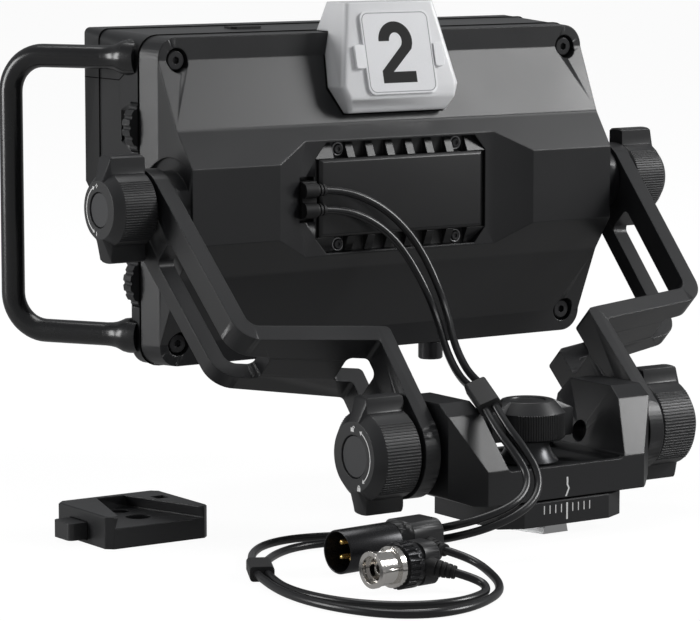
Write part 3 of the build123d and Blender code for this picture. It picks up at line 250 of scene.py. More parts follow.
def knob(name, centre, out, wings, rings, radius, reach, half, sides=180):
    """Draws a winged disc out along its axis.

    A ring is a distance, a size and the reach of its wings."""
    out = Vector(out)
    wings = Vector(wings)
    across = wings.cross(out)
    origin = Vector(centre)
    bpy.ops.object.select_all(action="DESELECT")
    bpy.ops.mesh.primitive_circle_add(
        vertices=sides,
        radius=radius * mm,
        fill_type="NGON",
        location=origin * mm,
        rotation=out.to_track_quat("Z", "Y").to_euler(),
    )
    piece = bpy.context.object
    piece.name = piece.data.name = name
    bpy.ops.object.transform_apply(location=True, rotation=True, scale=True)
    bpy.ops.object.mode_set(mode="EDIT")
    bpy.ops.mesh.select_mode(type="FACE")
    bpy.ops.mesh.select_all(action="SELECT")
    for place, (along, size, tip) in enumerate(rings):
        if place:
            bpy.ops.mesh.extrude_region_move(TRANSFORM_OT_translate={"value": out * 0.1 * mm})
        shape = bmesh.from_edit_mesh(piece.data)
        for corner in shape.verts:
            if corner.select:
                arm = corner.co / mm - origin
                way = math.atan2(arm.dot(wings), arm.dot(across))
                far = knob_outline(way, size, tip, half) if tip else size
                spot = across * math.cos(way) * far + wings * math.sin(way) * far
                corner.co = (origin + spot + out * along) * mm
        bmesh.update_edit_mesh(piece.data)
    bpy.ops.mesh.select_all(action="SELECT")
    bpy.ops.mesh.normals_make_consistent(inside=False)
    shape = bmesh.from_edit_mesh(piece.data)
    shape.faces.ensure_lookup_table()
    for face in shape.faces:
        middle = face.calc_center_median() / mm - origin
        flat = middle - out * middle.dot(out)
        way = math.atan2(flat.dot(wings), flat.dot(across))
        long_side = face.calc_area() > 3.0 * mm * mm and abs(face.normal.dot(out)) < 0.1
        turn = round((way / (2 * math.pi)) * sides - 0.5)
        face.select_set(long_side and turn % 2 == 0 and abs(math.cos(way)) > 0.62)
    bmesh.update_edit_mesh(piece.data)
    bpy.ops.mesh.inset(thickness=0.16 * mm, depth=0.38 * mm, use_individual=True)
    bpy.ops.object.mode_set(mode="OBJECT")
    bpy.ops.object.shade_smooth_by_angle(angle=math.radians(28))
    return piece


def turned(name, origin, out, steps, sides=64, crease=32.0):
    """Turns a piece on its axis: a disc drawn out through steps of distance and radius."""
    out = Vector(out).normalized()
    origin = Vector(origin) * mm
    along, radius = steps[0]
    bpy.ops.object.select_all(action="DESELECT")
    bpy.ops.mesh.primitive_circle_add(
        vertices=sides,
        radius=radius * mm,
        fill_type="NGON",
        location=origin + out * along * mm,
        rotation=out.to_track_quat("Z", "Y").to_euler(),
    )
    piece = bpy.context.object
    piece.name = piece.data.name = name
    bpy.ops.object.transform_apply(location=True, rotation=True, scale=True)
    bpy.ops.object.mode_set(mode="EDIT")
    bpy.ops.mesh.select_mode(type="FACE")
    bpy.ops.mesh.select_all(action="SELECT")
    for further, wider in steps[1:]:
        step = out * (further - along) * mm
        bpy.ops.mesh.extrude_region_move(TRANSFORM_OT_translate={"value": step})
        bpy.ops.transform.resize(
            value=[wider / radius] * 3, center_override=origin + out * further * mm
        )
        along, radius = further, wider
    bpy.ops.mesh.select_all(action="SELECT")
    bpy.ops.mesh.normals_make_consistent(inside=False)
    bpy.ops.object.mode_set(mode="OBJECT")
    bpy.ops.object.shade_smooth_by_angle(angle=math.radians(crease))
    return piece


def sweep(middle, radius, wide, first, last, steps=24):
    """An arc-shaped mark between two angles in degrees."""
    outer, inner = [], []
    for i in range(steps + 1):
        way = math.radians(first + (last - first) * i / steps)
        c, s = math.cos(way), math.sin(way)
        outer.append((middle[0] + (radius + wide / 2) * c, middle[1] + (radius + wide / 2) * s))
        inner.append((middle[0] + (radius - wide / 2) * c, middle[1] + (radius - wide / 2) * s))
    return outer + inner[::-1]


def tip(radius, way, turn, long, wide):
    """An arrow head at an angle on a ring, pointing round it."""
    way = math.radians(way)
    c, s = math.cos(way), math.sin(way)
    head = (radius * c - turn * long * s, radius * s + turn * long * c)
    inner, outer = radius - wide, radius + wide
    return [(inner * c, inner * s), (outer * c, outer * s), head]


def padlock(a, b, size, opened):
    """A small lock sign: a body and a bow, swung out when it is open."""
    body = bar(a, b - 0.25 * size, size, 0.75 * size)
    side = a + (0.45 * size if opened else 0.0)
    bow = sweep((side, b + 0.12 * size), 0.3 * size, 0.18 * size, 0, 180, 10)
    return [body, bow]


small_ring = 10.9
upper_marks = [sweep((0, 0), small_ring, 0.55, 118, 242)]
upper_marks += [tip(small_ring, 118, -1, 1.6, 1.0), tip(small_ring, 242, 1, 1.6, 1.0)]
upper_marks += [bar(-1.8, small_ring, 2.0, 0.5), bar(-1.8, small_ring, 0.5, 2.0)]
upper_marks += [bar(-2.2, -small_ring, 0.5, 2.0)]
large_ring = 12.6
lower_marks = [sweep((0, 0), large_ring, 0.55, -52, 62)]
lower_marks += [tip(large_ring, 62, 1, 1.7, 1.1), tip(large_ring, -52, -1, 1.7, 1.1)]
lower_marks += padlock(-1.2, large_ring, 2.4, True) + padlock(4.0, -13.4, 2.4, False)


def side_knob(name, side, x0, long, at, radius, reach, disc, lines, body, node):
    """One knob of the arms, with its disc and its printed marks."""
    out = (side, 0, 0)
    centre = (side * x0, at[0], at[1])
    rings = [(0.0, radius - 0.8, reach - 0.8), (0.8, radius, reach), (long - 4.2, radius, reach)]
    rings += [(long - 3.4, radius - 0.7, reach - 0.8), (long - 0.25, radius * 0.79, 0)]
    rings += [(long, radius * 0.775, 0), (long, disc + 0.3, 0), (long - 1.2, disc, 0)]
    whole = knob(name, centre, out, (0, 0, 1), rings, radius - 0.38, reach, 5.0)
    fit(whole, plastic, "knob_plastic", body, node)
    face = (side * (x0 + long), at[0], at[1])
    steps = [(-1.3, disc - 0.15), (-0.75, disc - 0.15), (-0.55, disc - 0.4)]
    button = turned(name + "_disc", face, out, steps)
    fit(button, disc_grey, "knob_plastic", body)
    printed = marks(name + "_marks", lines, face, (0, side, 0), (0, 0, 1), 0.03)
    fit(printed, enamel, "card_white", body)


for side, word in ((-1, "left"), (1, "right")):
    place = (side, 137.8, 21.3, (110.2, 143.7), 17.12, 24.5, 8.0, upper_marks)
    side_knob(word + "_tilt_clamp", *place, word + "_tilt_knob", word + "_tilt_knob")
    place = (side, 68.2, 23.1, (6.0, 39.5), 20.12, 26.5, 9.5, lower_marks)
    side_knob(word + "_fold_clamp", *place, word + "_fold_knob", word + "_fold_knob")

# Pan knob: the same plastic on a flared neck, its knurl upright, its top bevelled and
# hollowed round the end of the pan stud, with a wing on either side.
knob_seat = (0, 0, 29.6)
pan_rings = [(0.1, 9.6, 0), (10.8, 9.6, 0), (10.8, 16.0, 22.4), (11.6, 16.62, 23.2)]
pan_rings += [(23.0, 16.62, 23.2), (23.8, 16.0, 22.4), (28.2, 12.0, 0), (28.4, 11.4, 0)]
pan_rings += [(28.4, 8.3, 0), (27.7, 8.0, 0)]
pan_grip = knob("pan_clamp", knob_seat, (0, 0, 1), (1, 0, 0), pan_rings, 9.6, 23.2, 4.5)
fit(pan_grip, plastic, "knob_plastic", "pan_knob", "pan_knob")
neck_steps = [(0.0, 13.2), (0.15, 13.9), (0.8, 14.0), (2.0, 13.0), (4.5, 11.2)]
neck_steps += [(7.5, 9.9), (10.0, 9.7)]
neck = turned("pan_clamp_neck", knob_seat, (0, 0, 1), neck_steps, 96)
neck_metal = grained(
    "satin black metal", (0.05, 0.051, 0.054), 0.3, 0.3, 0.005, 0.1, 0.2, metal=0.6
)
fit(neck, neck_metal, "knob_plastic", "pan_knob")

# Arms: cranked plates cast in aluminium with a window round each bend, coated like the
# head. Their bosses turn on the studs of the bracket and of the head.
for side in ("left", "right"):
    arm = joined_copy(side + "_arm", side + "_arm_casting")
    fit(arm, casting, "black_casting", "arms", side + "_arm")

# Rear cover: one aluminium casting with two sloping panels and a raised middle, coated
# in fine charcoal texture. Four socket screws in deep counterbores hold it.
shell = joined_copy("rear_cover", "rear_shell")
fit(shell, casting, "black_casting", "head", "rear_cover")
dress(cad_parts["tilt_studs"], steel)
dark_screw = grained(
    "blackened screw", (0.055, 0.055, 0.057), 0.32, 0.25, 0.006, 0.2, 0.2, metal=0.7
)


def socket_screw(name, x, y, z, head, deep, key, shank, long):
    """A socket screw that faces the camera side: head, rounded rim, hexagon socket."""
    steps = [(long, shank), (0.0, shank), (0.0, head), (-deep + 0.5, head), (-deep, head - 0.45)]
    screw = turned(name, (x, y, z), (0, 1, 0), steps, 48)
    bpy.ops.object.select_all(action="DESELECT")
    bpy.ops.mesh.primitive_cylinder_add(
        vertices=6, radius=key * mm, depth=deep * 1.2 * mm,
        location=Vector((x, y - deep, z)) * mm, rotation=(math.pi / 2, 0, 0),
    )
    cutter = bpy.context.object
    only(screw)
    cut = screw.modifiers.new("socket", "BOOLEAN")
    cut.operation = "DIFFERENCE"
    cut.object = cutter
    bpy.ops.object.modifier_apply(modifier=cut.name)
    bpy.data.objects.remove(cutter)
    return screw


def together(name, pieces):
    """Joins pieces into one."""
    bpy.ops.object.select_all(action="DESELECT")
    for piece in pieces:
        piece.select_set(True)
    bpy.context.view_layer.objects.active = pieces[0]
    bpy.ops.object.join()
    pieces[0].name = pieces[0].data.name = name
    return pieces[0]


screws = []
for x in (-112.0, 112.0):
    for z in (78.3, 209.1):
        screws.append(socket_screw("screw", x, 123.4, z, 4.5, 3.2, 1.9, 2.0, 14.0))
corner_screws = together("corner_screws", screws)
fit(corner_screws, dark_screw, "steel", "head", "cover_screws")

# Heat sink: a finned block behind the octagonal opening, with a flat cover plate over
# the fins. The plate is bare, and four small bright-rimmed screws hold the block.
black_metal = grained("fin coat", (0.010, 0.0102, 0.011), 0.38, 0.35, 0.014, 0.16, 0.35, gloss=0.6)
fins = joined_copy("heat_sink", "finned_block")
fit(fins, black_metal, "black_casting", "head", "heat_sink")
bpy.ops.object.select_all(action="DESELECT")
plate_z = 143.7
bpy.ops.mesh.primitive_cube_add(size=1.0, location=Vector((0, 99.85, plate_z)) * mm)
cover_plate = bpy.context.object
cover_plate.name = cover_plate.data.name = "fin_cover"
cover_plate.scale = (94.0 * mm, 2.7 * mm, 36.8 * mm)
bpy.ops.object.transform_apply(location=True, rotation=True, scale=True)
bpy.ops.object.mode_set(mode="EDIT")
bpy.ops.mesh.select_mode(type="FACE")
shape = bmesh.from_edit_mesh(cover_plate.data)
for face in shape.faces:
    face.select_set(face.normal.y < -0.5)
bmesh.update_edit_mesh(cover_plate.data)
bpy.ops.mesh.inset(thickness=1.5 * mm, depth=0.0)
shape = bmesh.from_edit_mesh(cover_plate.data)
for corner in shape.verts:
    at_rim = abs(corner.co.x) > 46 * mm or abs(corner.co.z - plate_z * mm) > 17.5 * mm
    if corner.co.y < 99.0 * mm and at_rim:
        corner.co.y += 1.3 * mm
bmesh.update_edit_mesh(cover_plate.data)
bpy.ops.object.mode_set(mode="OBJECT")
only(cover_plate)
soften = cover_plate.modifiers.new("soft edges", "BEVEL")
soften.width = 0.35 * mm
soften.segments = 3
bpy.ops.object.modifier_apply(modifier=soften.name)
bpy.ops.object.shade_smooth_by_angle(angle=math.radians(40))
fit(cover_plate, black_metal, "black_casting", "head", "heat_sink_cover")
bright_ring = grained("bright rim", (0.42, 0.42, 0.43), 0.28, 0.25, 0.004, 0.1, 0.15, metal=1.0)
screws = []
rims = []
for x in (-34.0, 34.0):
    for z in (121.3, 166.1):
        screws.append(socket_screw("screw", x, 103.8, z, 2.45, 1.2, 1.15, 1.25, 5.6))
        steps = [(0.0, 3.2), (-0.5, 3.2), (-0.7, 3.05), (-0.7, 2.75), (-0.5, 2.55), (0.0, 2.55)]
        rims.append(turned("rim", (x, 103.95, z), (0, 1, 0), steps, 40))
fit(together("fin_screws", screws), dark_screw, "steel", "head", "heat_sink_screws")
fit(together("fin_screw_rims", rims), bright_ring, "steel", "head")

# Main board: the green circuit board behind the heat sink, with its processor, two
# connectors and a memory part. It is hidden once the head is closed.
board = joined_copy("main_board", "circuit_board")
board_green = grained("board green", (0.012, 0.085, 0.040), 0.35, 0.8, 0.01, 0.5, 0.1)
fit(board, board_green, "circuit_green", "head", "main_board")

# Front housing and bezel: two die-cast frames in the same charcoal coat, closed by a
# thin dark joint at the rear cover and another at the bezel.
housing = joined_copy("front_housing", "housing")
fit(housing, casting, "black_casting", "head", "front_housing")
bezel = joined_copy("front_bezel", "bezel")
fit(bezel, casting, "black_casting", "head", "front_bezel")
port = joined_copy("port_cover", "port_lid")
rubber = grained("black rubber", (0.016, 0.016, 0.0165), 0.6, 0.4, 0.012, 0.12, 0.3, gloss=0.35)
fit(port, rubber, "black_casting", "head", "port_cover")
# The near-black finish of the dark joints between castings, used again for the painted shadow round
# the tally lens's foot.
joint_dark_and_seat_shadow = grained(
    "dark joints and painted seat shadow", (0.004, 0.004, 0.004), 0.8, 0.4, 0.004, 0.1, 0.05, gloss=0.1
)


def rounded(half_x, low, high, radius, steps=6):
    """The outline of a rounded rectangle, as points across and up."""
    points = []
    for cx, cz, first in (
        (half_x - radius, high - radius, 0),
        (radius - half_x, high - radius, 90),
        (radius - half_x, low + radius, 180),
        (half_x - radius, low + radius, 270),
    ):
        for i in range(steps + 1):
            way = math.radians(first + 90.0 * i / steps)
            points.append((cx + radius * math.cos(way), cz + radius * math.sin(way)))
    return points


def joint_line(name, y, points, wide=0.4, proud=0.05, deep=0.5):
    """A thin dark band round the head where two castings meet."""
    middle = sum((Vector(p) for p in points), Vector((0.0, 0.0))) / len(points)
    mesh = bpy.data.meshes.new(name)
    shape = bmesh.new()
    rings = []
    near, far = y - wide / 2, y + wide / 2
    for grow, at in ((proud, near), (proud, far), (-deep, far), (-deep, near)):
        ring = []
        for a, b in points:
            a += math.copysign(grow, a - middle.x)
            b += math.copysign(grow, b - middle.y)
            ring.append(shape.verts.new(Vector((a, at, b)) * mm))
        rings.append(ring)
    for ring, after in zip(rings, rings[1:] + rings[:1]):
        for i in range(len(points)):
            k = (i + 1) % len(points)
            shape.faces.new((ring[i], ring[k], after[k], after[i]))
    shape.to_mesh(mesh)
    shape.free()
    line = bpy.data.objects.new(name, mesh)
    bpy.context.collection.objects.link(line)
    only(line)
    bpy.ops.object.mode_set(mode="EDIT")
    bpy.ops.mesh.select_all(action="SELECT")
    bpy.ops.mesh.normals_make_consistent(inside=False)
    bpy.ops.object.mode_set(mode="OBJECT")
    return line


head_side = 124.5
head_foot = 67.3
bezel_y = 168.0
seam = joint_line("cover_joint", 132.5, rounded(head_side, head_foot, 220.1, 10.0))
fit(seam, joint_dark_and_seat_shadow, "black_rubber", "head")
waist = [(-78.0, head_foot), (78.0, head_foot), (93.0, 95.0), (104.6, 112.0), (head_side, 150.0)]
waist += [p for p in rounded(head_side, 100.0, 221.68, 5.0) if p[1] > 160.0]
waist += [(-head_side, 150.0), (-104.6, 112.0), (-93.0, 95.0)]
split = joint_line("bezel_joint", bezel_y, waist)
fit(split, joint_dark_and_seat_shadow, "black_rubber", "head")
for side, word in ((-1, "left"), (1, "right")):
    path = [(14.0, 0.0), (-17.6, 0.0), (-24.8, 4.2), (-25.2, 3.7), (-17.9, -0.5), (14.0, -0.5)]
    path = [(side * a, b) for a, b in path]
    corner = (side * head_side, bezel_y, 199.4)
    cut = marks(word + "_root_joint", [path], corner, (0, side, 0), (0, 0, 1), 0.04)
    fit(cut, joint_dark_and_seat_shadow, "black_rubber", "head")

# Screen: the display panel and its cover glass, glued into the bezel's rebate. It is
# switched off, so the glass shows as a deep glossy black with a grey border.
panel_black = grained("panel black", (0.006, 0.006, 0.007), 0.25, 1.2, 0.001, 0.1, 0.1)
dress(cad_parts["screen_panel"], panel_black)
glass_finish, start = empty_finish("cover glass")
place = start.node("ShaderNodeTexCoord", out="Object")
smear = start.node("ShaderNodeTexNoise", {}, {"Vector": place, "Scale": 35.0, "Detail": 3.0})
skin = start.node(
    "ShaderNodeBsdfPrincipled",
    {},
    {
        "Base Color": (0.01, 0.01, 0.012, 1.0),
        "Roughness": smear * 0.06 + 0.03,
        "IOR": 1.5,
        "Coat Weight": 0.3,
    },
)
start.node("ShaderNodeOutputMaterial", {}, {"Surface": skin})
dress(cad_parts["screen_glass"], glass_finish)

# Function buttons: two moulded plastic caps under the screen, with a shallow dish in
# the middle of each. They slide in bores of the bezel.
for side, x in (("left", -16.0), ("right", 16.0)):
    steps = [(-7.4, 8.2), (-4.2, 8.2), (-4.2, 6.0), (0.9, 6.0), (1.5, 5.8)]
    steps += [(1.85, 5.3), (2.0, 4.6), (1.7, 2.0)]
    cap = turned(side + "_key", (x, 182.0, 91.0), (0, 1, 0), steps, 64)
    fit(cap, plastic, "knob_plastic", side + "_button", side + "_button")

# Thumb wheels: two moulded wheels with coarse teeth, running on pins of the housing
# with only a slice of each standing out of its pocket.
for name, z in (("upper", 178.0), ("lower", 106.0)):
    wheel = joined_copy(name + "_thumb_wheel", name + "_wheel", 14.0)
    fit(wheel, plastic, "knob_plastic", name + "_thumb_wheel", name + "_thumb_wheel")

# Handles: bent steel tube in black enamel, a flared collar at each root where it goes
# into the side of the housing.
tube_enamel = grained(
    "handle enamel", (0.012, 0.0122, 0.013), 0.24, 1.5, 0.003, 0.08, 0.2, gloss=0.55
)


def bent_tube(name, corners, bend, radius, steps=14):
    """A tube through its corners, each rounded to one bend radius."""
    points = [Vector(corners[0])]
    for before, corner, after in zip(corners, corners[1:], corners[2:]):
        corner = Vector(corner)
        back = (Vector(before) - corner).normalized()
        on = (Vector(after) - corner).normalized()
        half = back.angle(on) / 2
        middle = corner + (back + on).normalized() * (bend / math.sin(half))
        first = corner + back * (bend / math.tan(half)) - middle
        last = corner + on * (bend / math.tan(half)) - middle
        swing = first.angle(last)
        for i in range(steps + 1):
            part = i / steps
            spoke = first * math.sin((1 - part) * swing) + last * math.sin(part * swing)
            points.append(middle + spoke / math.sin(swing))
    points.append(Vector(corners[-1]))
    curve = bpy.data.curves.new(name, "CURVE")
    curve.dimensions = "3D"
    line = curve.splines.new("POLY")
    line.points.add(len(points) - 1)
    for point, spot in zip(line.points, points):
        point.co = (*(spot * mm), 1.0)
    curve.bevel_depth = radius * mm
    curve.bevel_resolution = 10
    curve.use_fill_caps = True
    piece = bpy.data.objects.new(name, curve)
    bpy.context.collection.objects.link(piece)
    only(piece)
    bpy.ops.object.convert(target="MESH")
    bpy.ops.object.shade_smooth_by_angle(angle=math.radians(35))
    return bpy.context.object


rail = 145.15
drops = (64.65, -64.65)
flare = [(-7.0, 8.3), (-1.0, 8.2), (1.5, 7.7), (3.5, 6.8), (5.5, 6.1), (8.0, 5.65), (10.5, 5.52)]
for side, word in ((-1, "left"), (1, "right")):
    lean = Vector((side * 32.5, 51.0, 0.0)).normalized()
    roots = [Vector((side * head_side, 144.0, rail + drop)) for drop in drops]
    knees = [Vector((side * 157.0, 195.0, rail + drop)) for drop in drops]
    corners = [roots[0] + lean * 2.0, *knees, roots[1] + lean * 2.0]
    tube = bent_tube(word + "_tube", corners, 17.5, 5.5)
    parts = [tube]
    for root in roots:
        collar = turned("collar", root, lean, flare, 48, 40.0)
        bpy.ops.object.mode_set(mode="EDIT")
        bpy.ops.mesh.select_all(action="SELECT")
        wall = (side * head_side * mm, 0, 0)
        bpy.ops.mesh.bisect(
            plane_co=wall, plane_no=(side, 0, 0), use_fill=True, clear_inner=True
        )
        bpy.ops.object.mode_set(mode="OBJECT")
        parts.append(collar)
    grip = together(word + "_grab_handle", parts)
    fit(grip, tube_enamel, "handle_enamel", "head", word + "_handle")

# Accessory boss: a turned and blackened boss with a threaded bore for small fittings,
# screwed into the underside of the head.
boss_steps = [(0.0, 6.0), (7.7, 6.0), (8.4, 5.4), (8.4, 3.2), (8.1, 3.0), (2.0, 3.0)]
boss = turned("threaded_boss", (36, 126, head_foot), (0, 0, -1), boss_steps, 64)
fit(boss, dark_screw, "black_casting", "head", "accessory_boss")

# Tally light: a milky plastic housing over a lamp board, with the camera's number card
# in front, held by two clips. A dark sheet round its foot is painted shadow on the rear cover.
lens = joined_copy("tally_lens", "tally_housing", 16.0)
lens_finish, start = empty_finish("frosted clear plastic")
place = start.node("ShaderNodeTexCoord", out="Object")
cloud = start.node("ShaderNodeTexNoise", {}, {"Vector": place, "Scale": 60.0, "Detail": 2.0})
rounded_edge = start.node("ShaderNodeBevel", {"samples": 6}, {"Radius": 1.6 * mm})
skin = start.node(
    "ShaderNodeBsdfPrincipled",
    {},
    {
        "Base Color": (0.95, 0.953, 0.965, 1.0),
        "Roughness": cloud * 0.08 + 0.14,
        "IOR": 1.45,
        "Transmission Weight": 0.12,
        "Normal": rounded_edge,
    },
)
start.node("ShaderNodeOutputMaterial", {}, {"Surface": skin})
fit(lens, lens_finish, "clear_lens", "head", "tally_lens")
# Painted shadow: a near-black sheet just proud of the sloping panel round the lens's foot, standing
# for the shade in the gap where the lens sits.
panel_up = Vector((0, 14.65, 31.4)).normalized()
seat_shadow_z = 200.0
seat_shadow_outline = [(-29.0, 181.4), (29.0, 181.4), (34.7, 194.0)]
seat_shadow_outline += [(28.9, 220.0), (-28.9, 220.0), (-34.7, 194.0)]
seat_shadow_outline = [(a, (z - seat_shadow_z) / panel_up.z) for a, z in seat_shadow_outline]
seat_shadow_sheet = marks("lens_seat_shadow", [seat_shadow_outline], (0, 114.99, seat_shadow_z), (1, 0, 0), panel_up, 0.12)
fit(seat_shadow_sheet, joint_dark_and_seat_shadow, "black_rubber", "head")
dress(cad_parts["tally_lamp_board"], board_green)
card_white = grained("card white", (0.88, 0.883, 0.90), 0.3, 0.3, 0.003, 0.03, 0.5)
card = joined_copy("number_card", "camera_number_card")
fit(card, card_white, "card_white", "head", "number_card")
lean = 0.2455
card_up = Vector((0, lean, 1)).normalized()
card_out = Vector((0, -1, lean)).normalized()
card_face = Vector((0, 103.16, 210.2)) + card_out * 1.2


def oval(rx, ry, first, last, middle=5.9, steps=22):
    """Part of an oval, between two angles in degrees."""
    points = []
    for i in range(steps + 1):
        way = math.radians(first + (last - first) * i / steps)
        points.append((rx * math.cos(way), middle + ry * math.sin(way)))
    return points


numeral = oval(9.6, 9.3, 180, -26)
numeral += [(-3.2, -8.9), (9.6, -8.9), (9.6, -14.2), (-9.6, -14.2), (-9.6, -8.3)]
numeral += oval(3.6, 4.0, -42, 180)
numeral = [(a - 1.2, b - 0.5) for a, b in numeral]
number = marks("camera_number", [numeral], card_face, (1, 0, 0), card_up, 0.06)
print_black = grained(
    "print black", (0.004, 0.004, 0.0042), 0.55, 0.3, 0.003, 0.1, 0.02, gloss=0.2
)
fit(number, print_black, "black_rubber", "head")
# Painted shade: a flat grey ring round the card's outline, standing for the shade of the groove
# along its edge under the clear cover.
shade_ring_quads = []
outline = rounded(18.9, -19.1, 19.1, 3.6)
inline = rounded(18.5, -18.7, 18.7, 3.2)
for i in range(len(outline)):
    k = (i + 1) % len(outline)
    shade_ring_quads.append([outline[i], outline[k], inline[k], inline[i]])
painted_edge_ring = marks("card_edge_shade", shade_ring_quads, card_face, (1, 0, 0), card_up, 0.04)
edge_shade_grey = grained("painted card edge shade", (0.30, 0.305, 0.32), 0.4, 0.3, 0.003, 0.05, 0.05)
fit(painted_edge_ring, edge_shade_grey, "card_white", "head")
clip_clear = grained("clip white", (0.93, 0.935, 0.95), 0.3, 0.3, 0.004, 0.03, 0.5)
dress(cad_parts["tally_clips"], clip_clear)

# Cable glands: two ribbed rubber exits, one above the other on a moulded foot, seated
# at the left end of the heat sink.
glands = joined_copy("cable_glands", "gland_block")
fit(glands, rubber, "black_rubber", "head", "cable_glands")

# Cables: a video and a power cable with soft black jackets, about 0.6 and 0.7 m long,
# led down to the bracket, held by two clips and lying in a loose loop on the floor.
jacket, start = empty_finish("cable jacket")
place = start.node("ShaderNodeTexCoord", out="Object")
skin_grain = start.node("ShaderNodeTexNoise", {}, {"Vector": place, "Scale": 1600.0, "Detail": 2.0})
waves = start.node("ShaderNodeTexNoise", {}, {"Vector": place, "Scale": 30.0, "Detail": 2.0})
bump = start.node("ShaderNodeBump", {}, {"Distance": 0.006 * mm, "Height": skin_grain})
tint = start.node(
    "ShaderNodeVectorMath",
    {"operation": "SCALE"},
    {0: (0.014, 0.0142, 0.0152), "Scale": waves * 0.4 + 0.8},
)
skin = start.node(
    "ShaderNodeBsdfPrincipled",
    {},
    {"Base Color": tint, "Roughness": waves * 0.12 + 0.24, "Normal": bump},
)
start.node("ShaderNodeOutputMaterial", {}, {"Surface": skin})


def cable(name, route, node, body, length, **ends):
    """One free stretch of cable: a smooth line through its route, with a round section."""
    curve = bpy.data.curves.new(name, "CURVE")
    curve.dimensions = "3D"
    line = curve.splines.new("NURBS")
    line.points.add(len(route) - 1)
    for point, spot in zip(line.points, route):
        point.co = (*(Vector(spot) * mm), 1.0)
    line.order_u = 3
    line.use_endpoint_u = True
    line.resolution_u = 8
    curve.bevel_depth = 1.8 * mm
    curve.bevel_resolution = 6
    curve.use_fill_caps = True
    piece = bpy.data.objects.new(name, curve)
    bpy.context.collection.objects.link(piece)
    fit(piece, jacket, "cable_jacket", body, node)


video_upper = [(-48.2, 95, 148.2), (-40, 94.9, 147.7), (-29, 93.6, 144.9), (-17, 91.6, 138.9)]
video_upper += [(-6, 89.6, 129.6), (2.8, 87, 117.5), (8.2, 81, 101), (4.6, 68, 88)]
video_upper += [(-5.5, 50, 79.8)]
video_upper += [(-15.5, 30, 73.6), (-25.2, 9, 69.5), (-30.4, -4.83, 68.29)]
video_middle = [(-35.64, -22.31, 61.88), (-36.6, -32.5, 53.8), (-34.2, -42.5, 44.8)]
video_middle += [(-31.6, -50.4, 34), (-38.6, -57.4, 25), (-51.5, -59.8, 19.2), (-64.5, -55.6, 14.2)]
video_middle += [(-73.5, -45, 9.9), (-75.2, -31, 6.4), (-74.8, -16, 3.6), (-81, -2.6, 2.1)]
video_middle += [(-92.5, 5.6, 1.95), (-106.5, 9.6, 1.95), (-120.5, 8.6, 1.95), (-132.8, 2.6, 1.95)]
video_middle += [(-144, -6.8, 2.3), (-155.6, -20.22, 3.35)]
video_end = [(-164.69, -37.3, 3.35), (-168, -48, 2.4), (-171, -64, 1.95), (-170, -82, 1.95)]
video_end += [(-164.5, -99, 1.95), (-154.5, -112, 1.95), (-141.5, -119.8, 1.95)]
video_end += [(-128, -121.8, 1.95)]
video_end += [(-116.2, -118.8, 1.95), (-105.4, -112.6, 2.3), (-102.8, -103.8, 4.9)]
video_end += [(-111.23, -95.67, 7.89)]
power_upper = [(-48.2, 95, 139), (-40.5, 94.9, 138.6), (-30.5, 93.6, 136.4), (-19.8, 91.8, 131.2)]
power_upper += [(-10.2, 89.9, 123), (-2.6, 87.4, 112), (2.8, 81.4, 97.2), (-0.2, 68.6, 84.8)]
power_upper += [(-9.8, 50.4, 76.8), (-19.5, 30.6, 71), (-28.9, 10, 67.3), (-34.08, -3.1, 66.6)]
power_middle = [(-39.33, -20.59, 60.19), (-41.2, -31.5, 52), (-38.8, -41.5, 43.2)]
power_middle += [(-36.4, -48.4, 34.2)]
power_middle += [(-42.4, -54.4, 27.2), (-53.5, -57.4, 22.6), (-66, -53.6, 18.4)]
power_middle += [(-75.4, -43.4, 14.4)]
power_middle += [(-76.4, -28.5, 10.4), (-72.2, -12.5, 6.8), (-73, 3.5, 3.6), (-82.5, 15, 2)]
power_middle += [(-98, 23, 1.95), (-114.5, 25.6, 1.95), (-130, 20.2, 1.95), (-142.5, 8.8, 1.95)]
power_middle += [(-152, -5, 2.4), (-159.49, -18.15, 3.35)]
power_end = [(-168.58, -35.23, 3.35), (-172.8, -50, 2.4), (-176.2, -68, 1.95), (-177, -88, 1.95)]
power_end += [(-173, -108, 1.95), (-164.4, -125, 1.95), (-150, -134.6, 1.95)]
power_end += [(-133.5, -134.4, 1.95)]
power_end += [(-118, -127.8, 1.95), (-103, -117, 1.95), (-91.8, -102, 1.95), (-84.2, -86, 2.3)]
power_end += [(-81.6, -73.6, 4.2), (-84.8, -65.2, 6.8), (-89.71, -59.21, 8.69)]

# Cable clips: moulded black blocks that snap round both cables, with rounded corners
# and plain faces.
clip_black = grained("clip black", (0.013, 0.013, 0.0135), 0.52, 0.4, 0.01, 0.12, 0.5, gloss=0.4)
upper_clip = joined_copy("upper_cable_clip", "upper_clip")
fit(upper_clip, clip_black, "clip_plastic", "bracket", "upper_cable_clip")
lower_clip = joined_copy("lower_cable_clip", "lower_clip")
fit(lower_clip, clip_black, "clip_plastic", "foot", "lower_cable_clip")

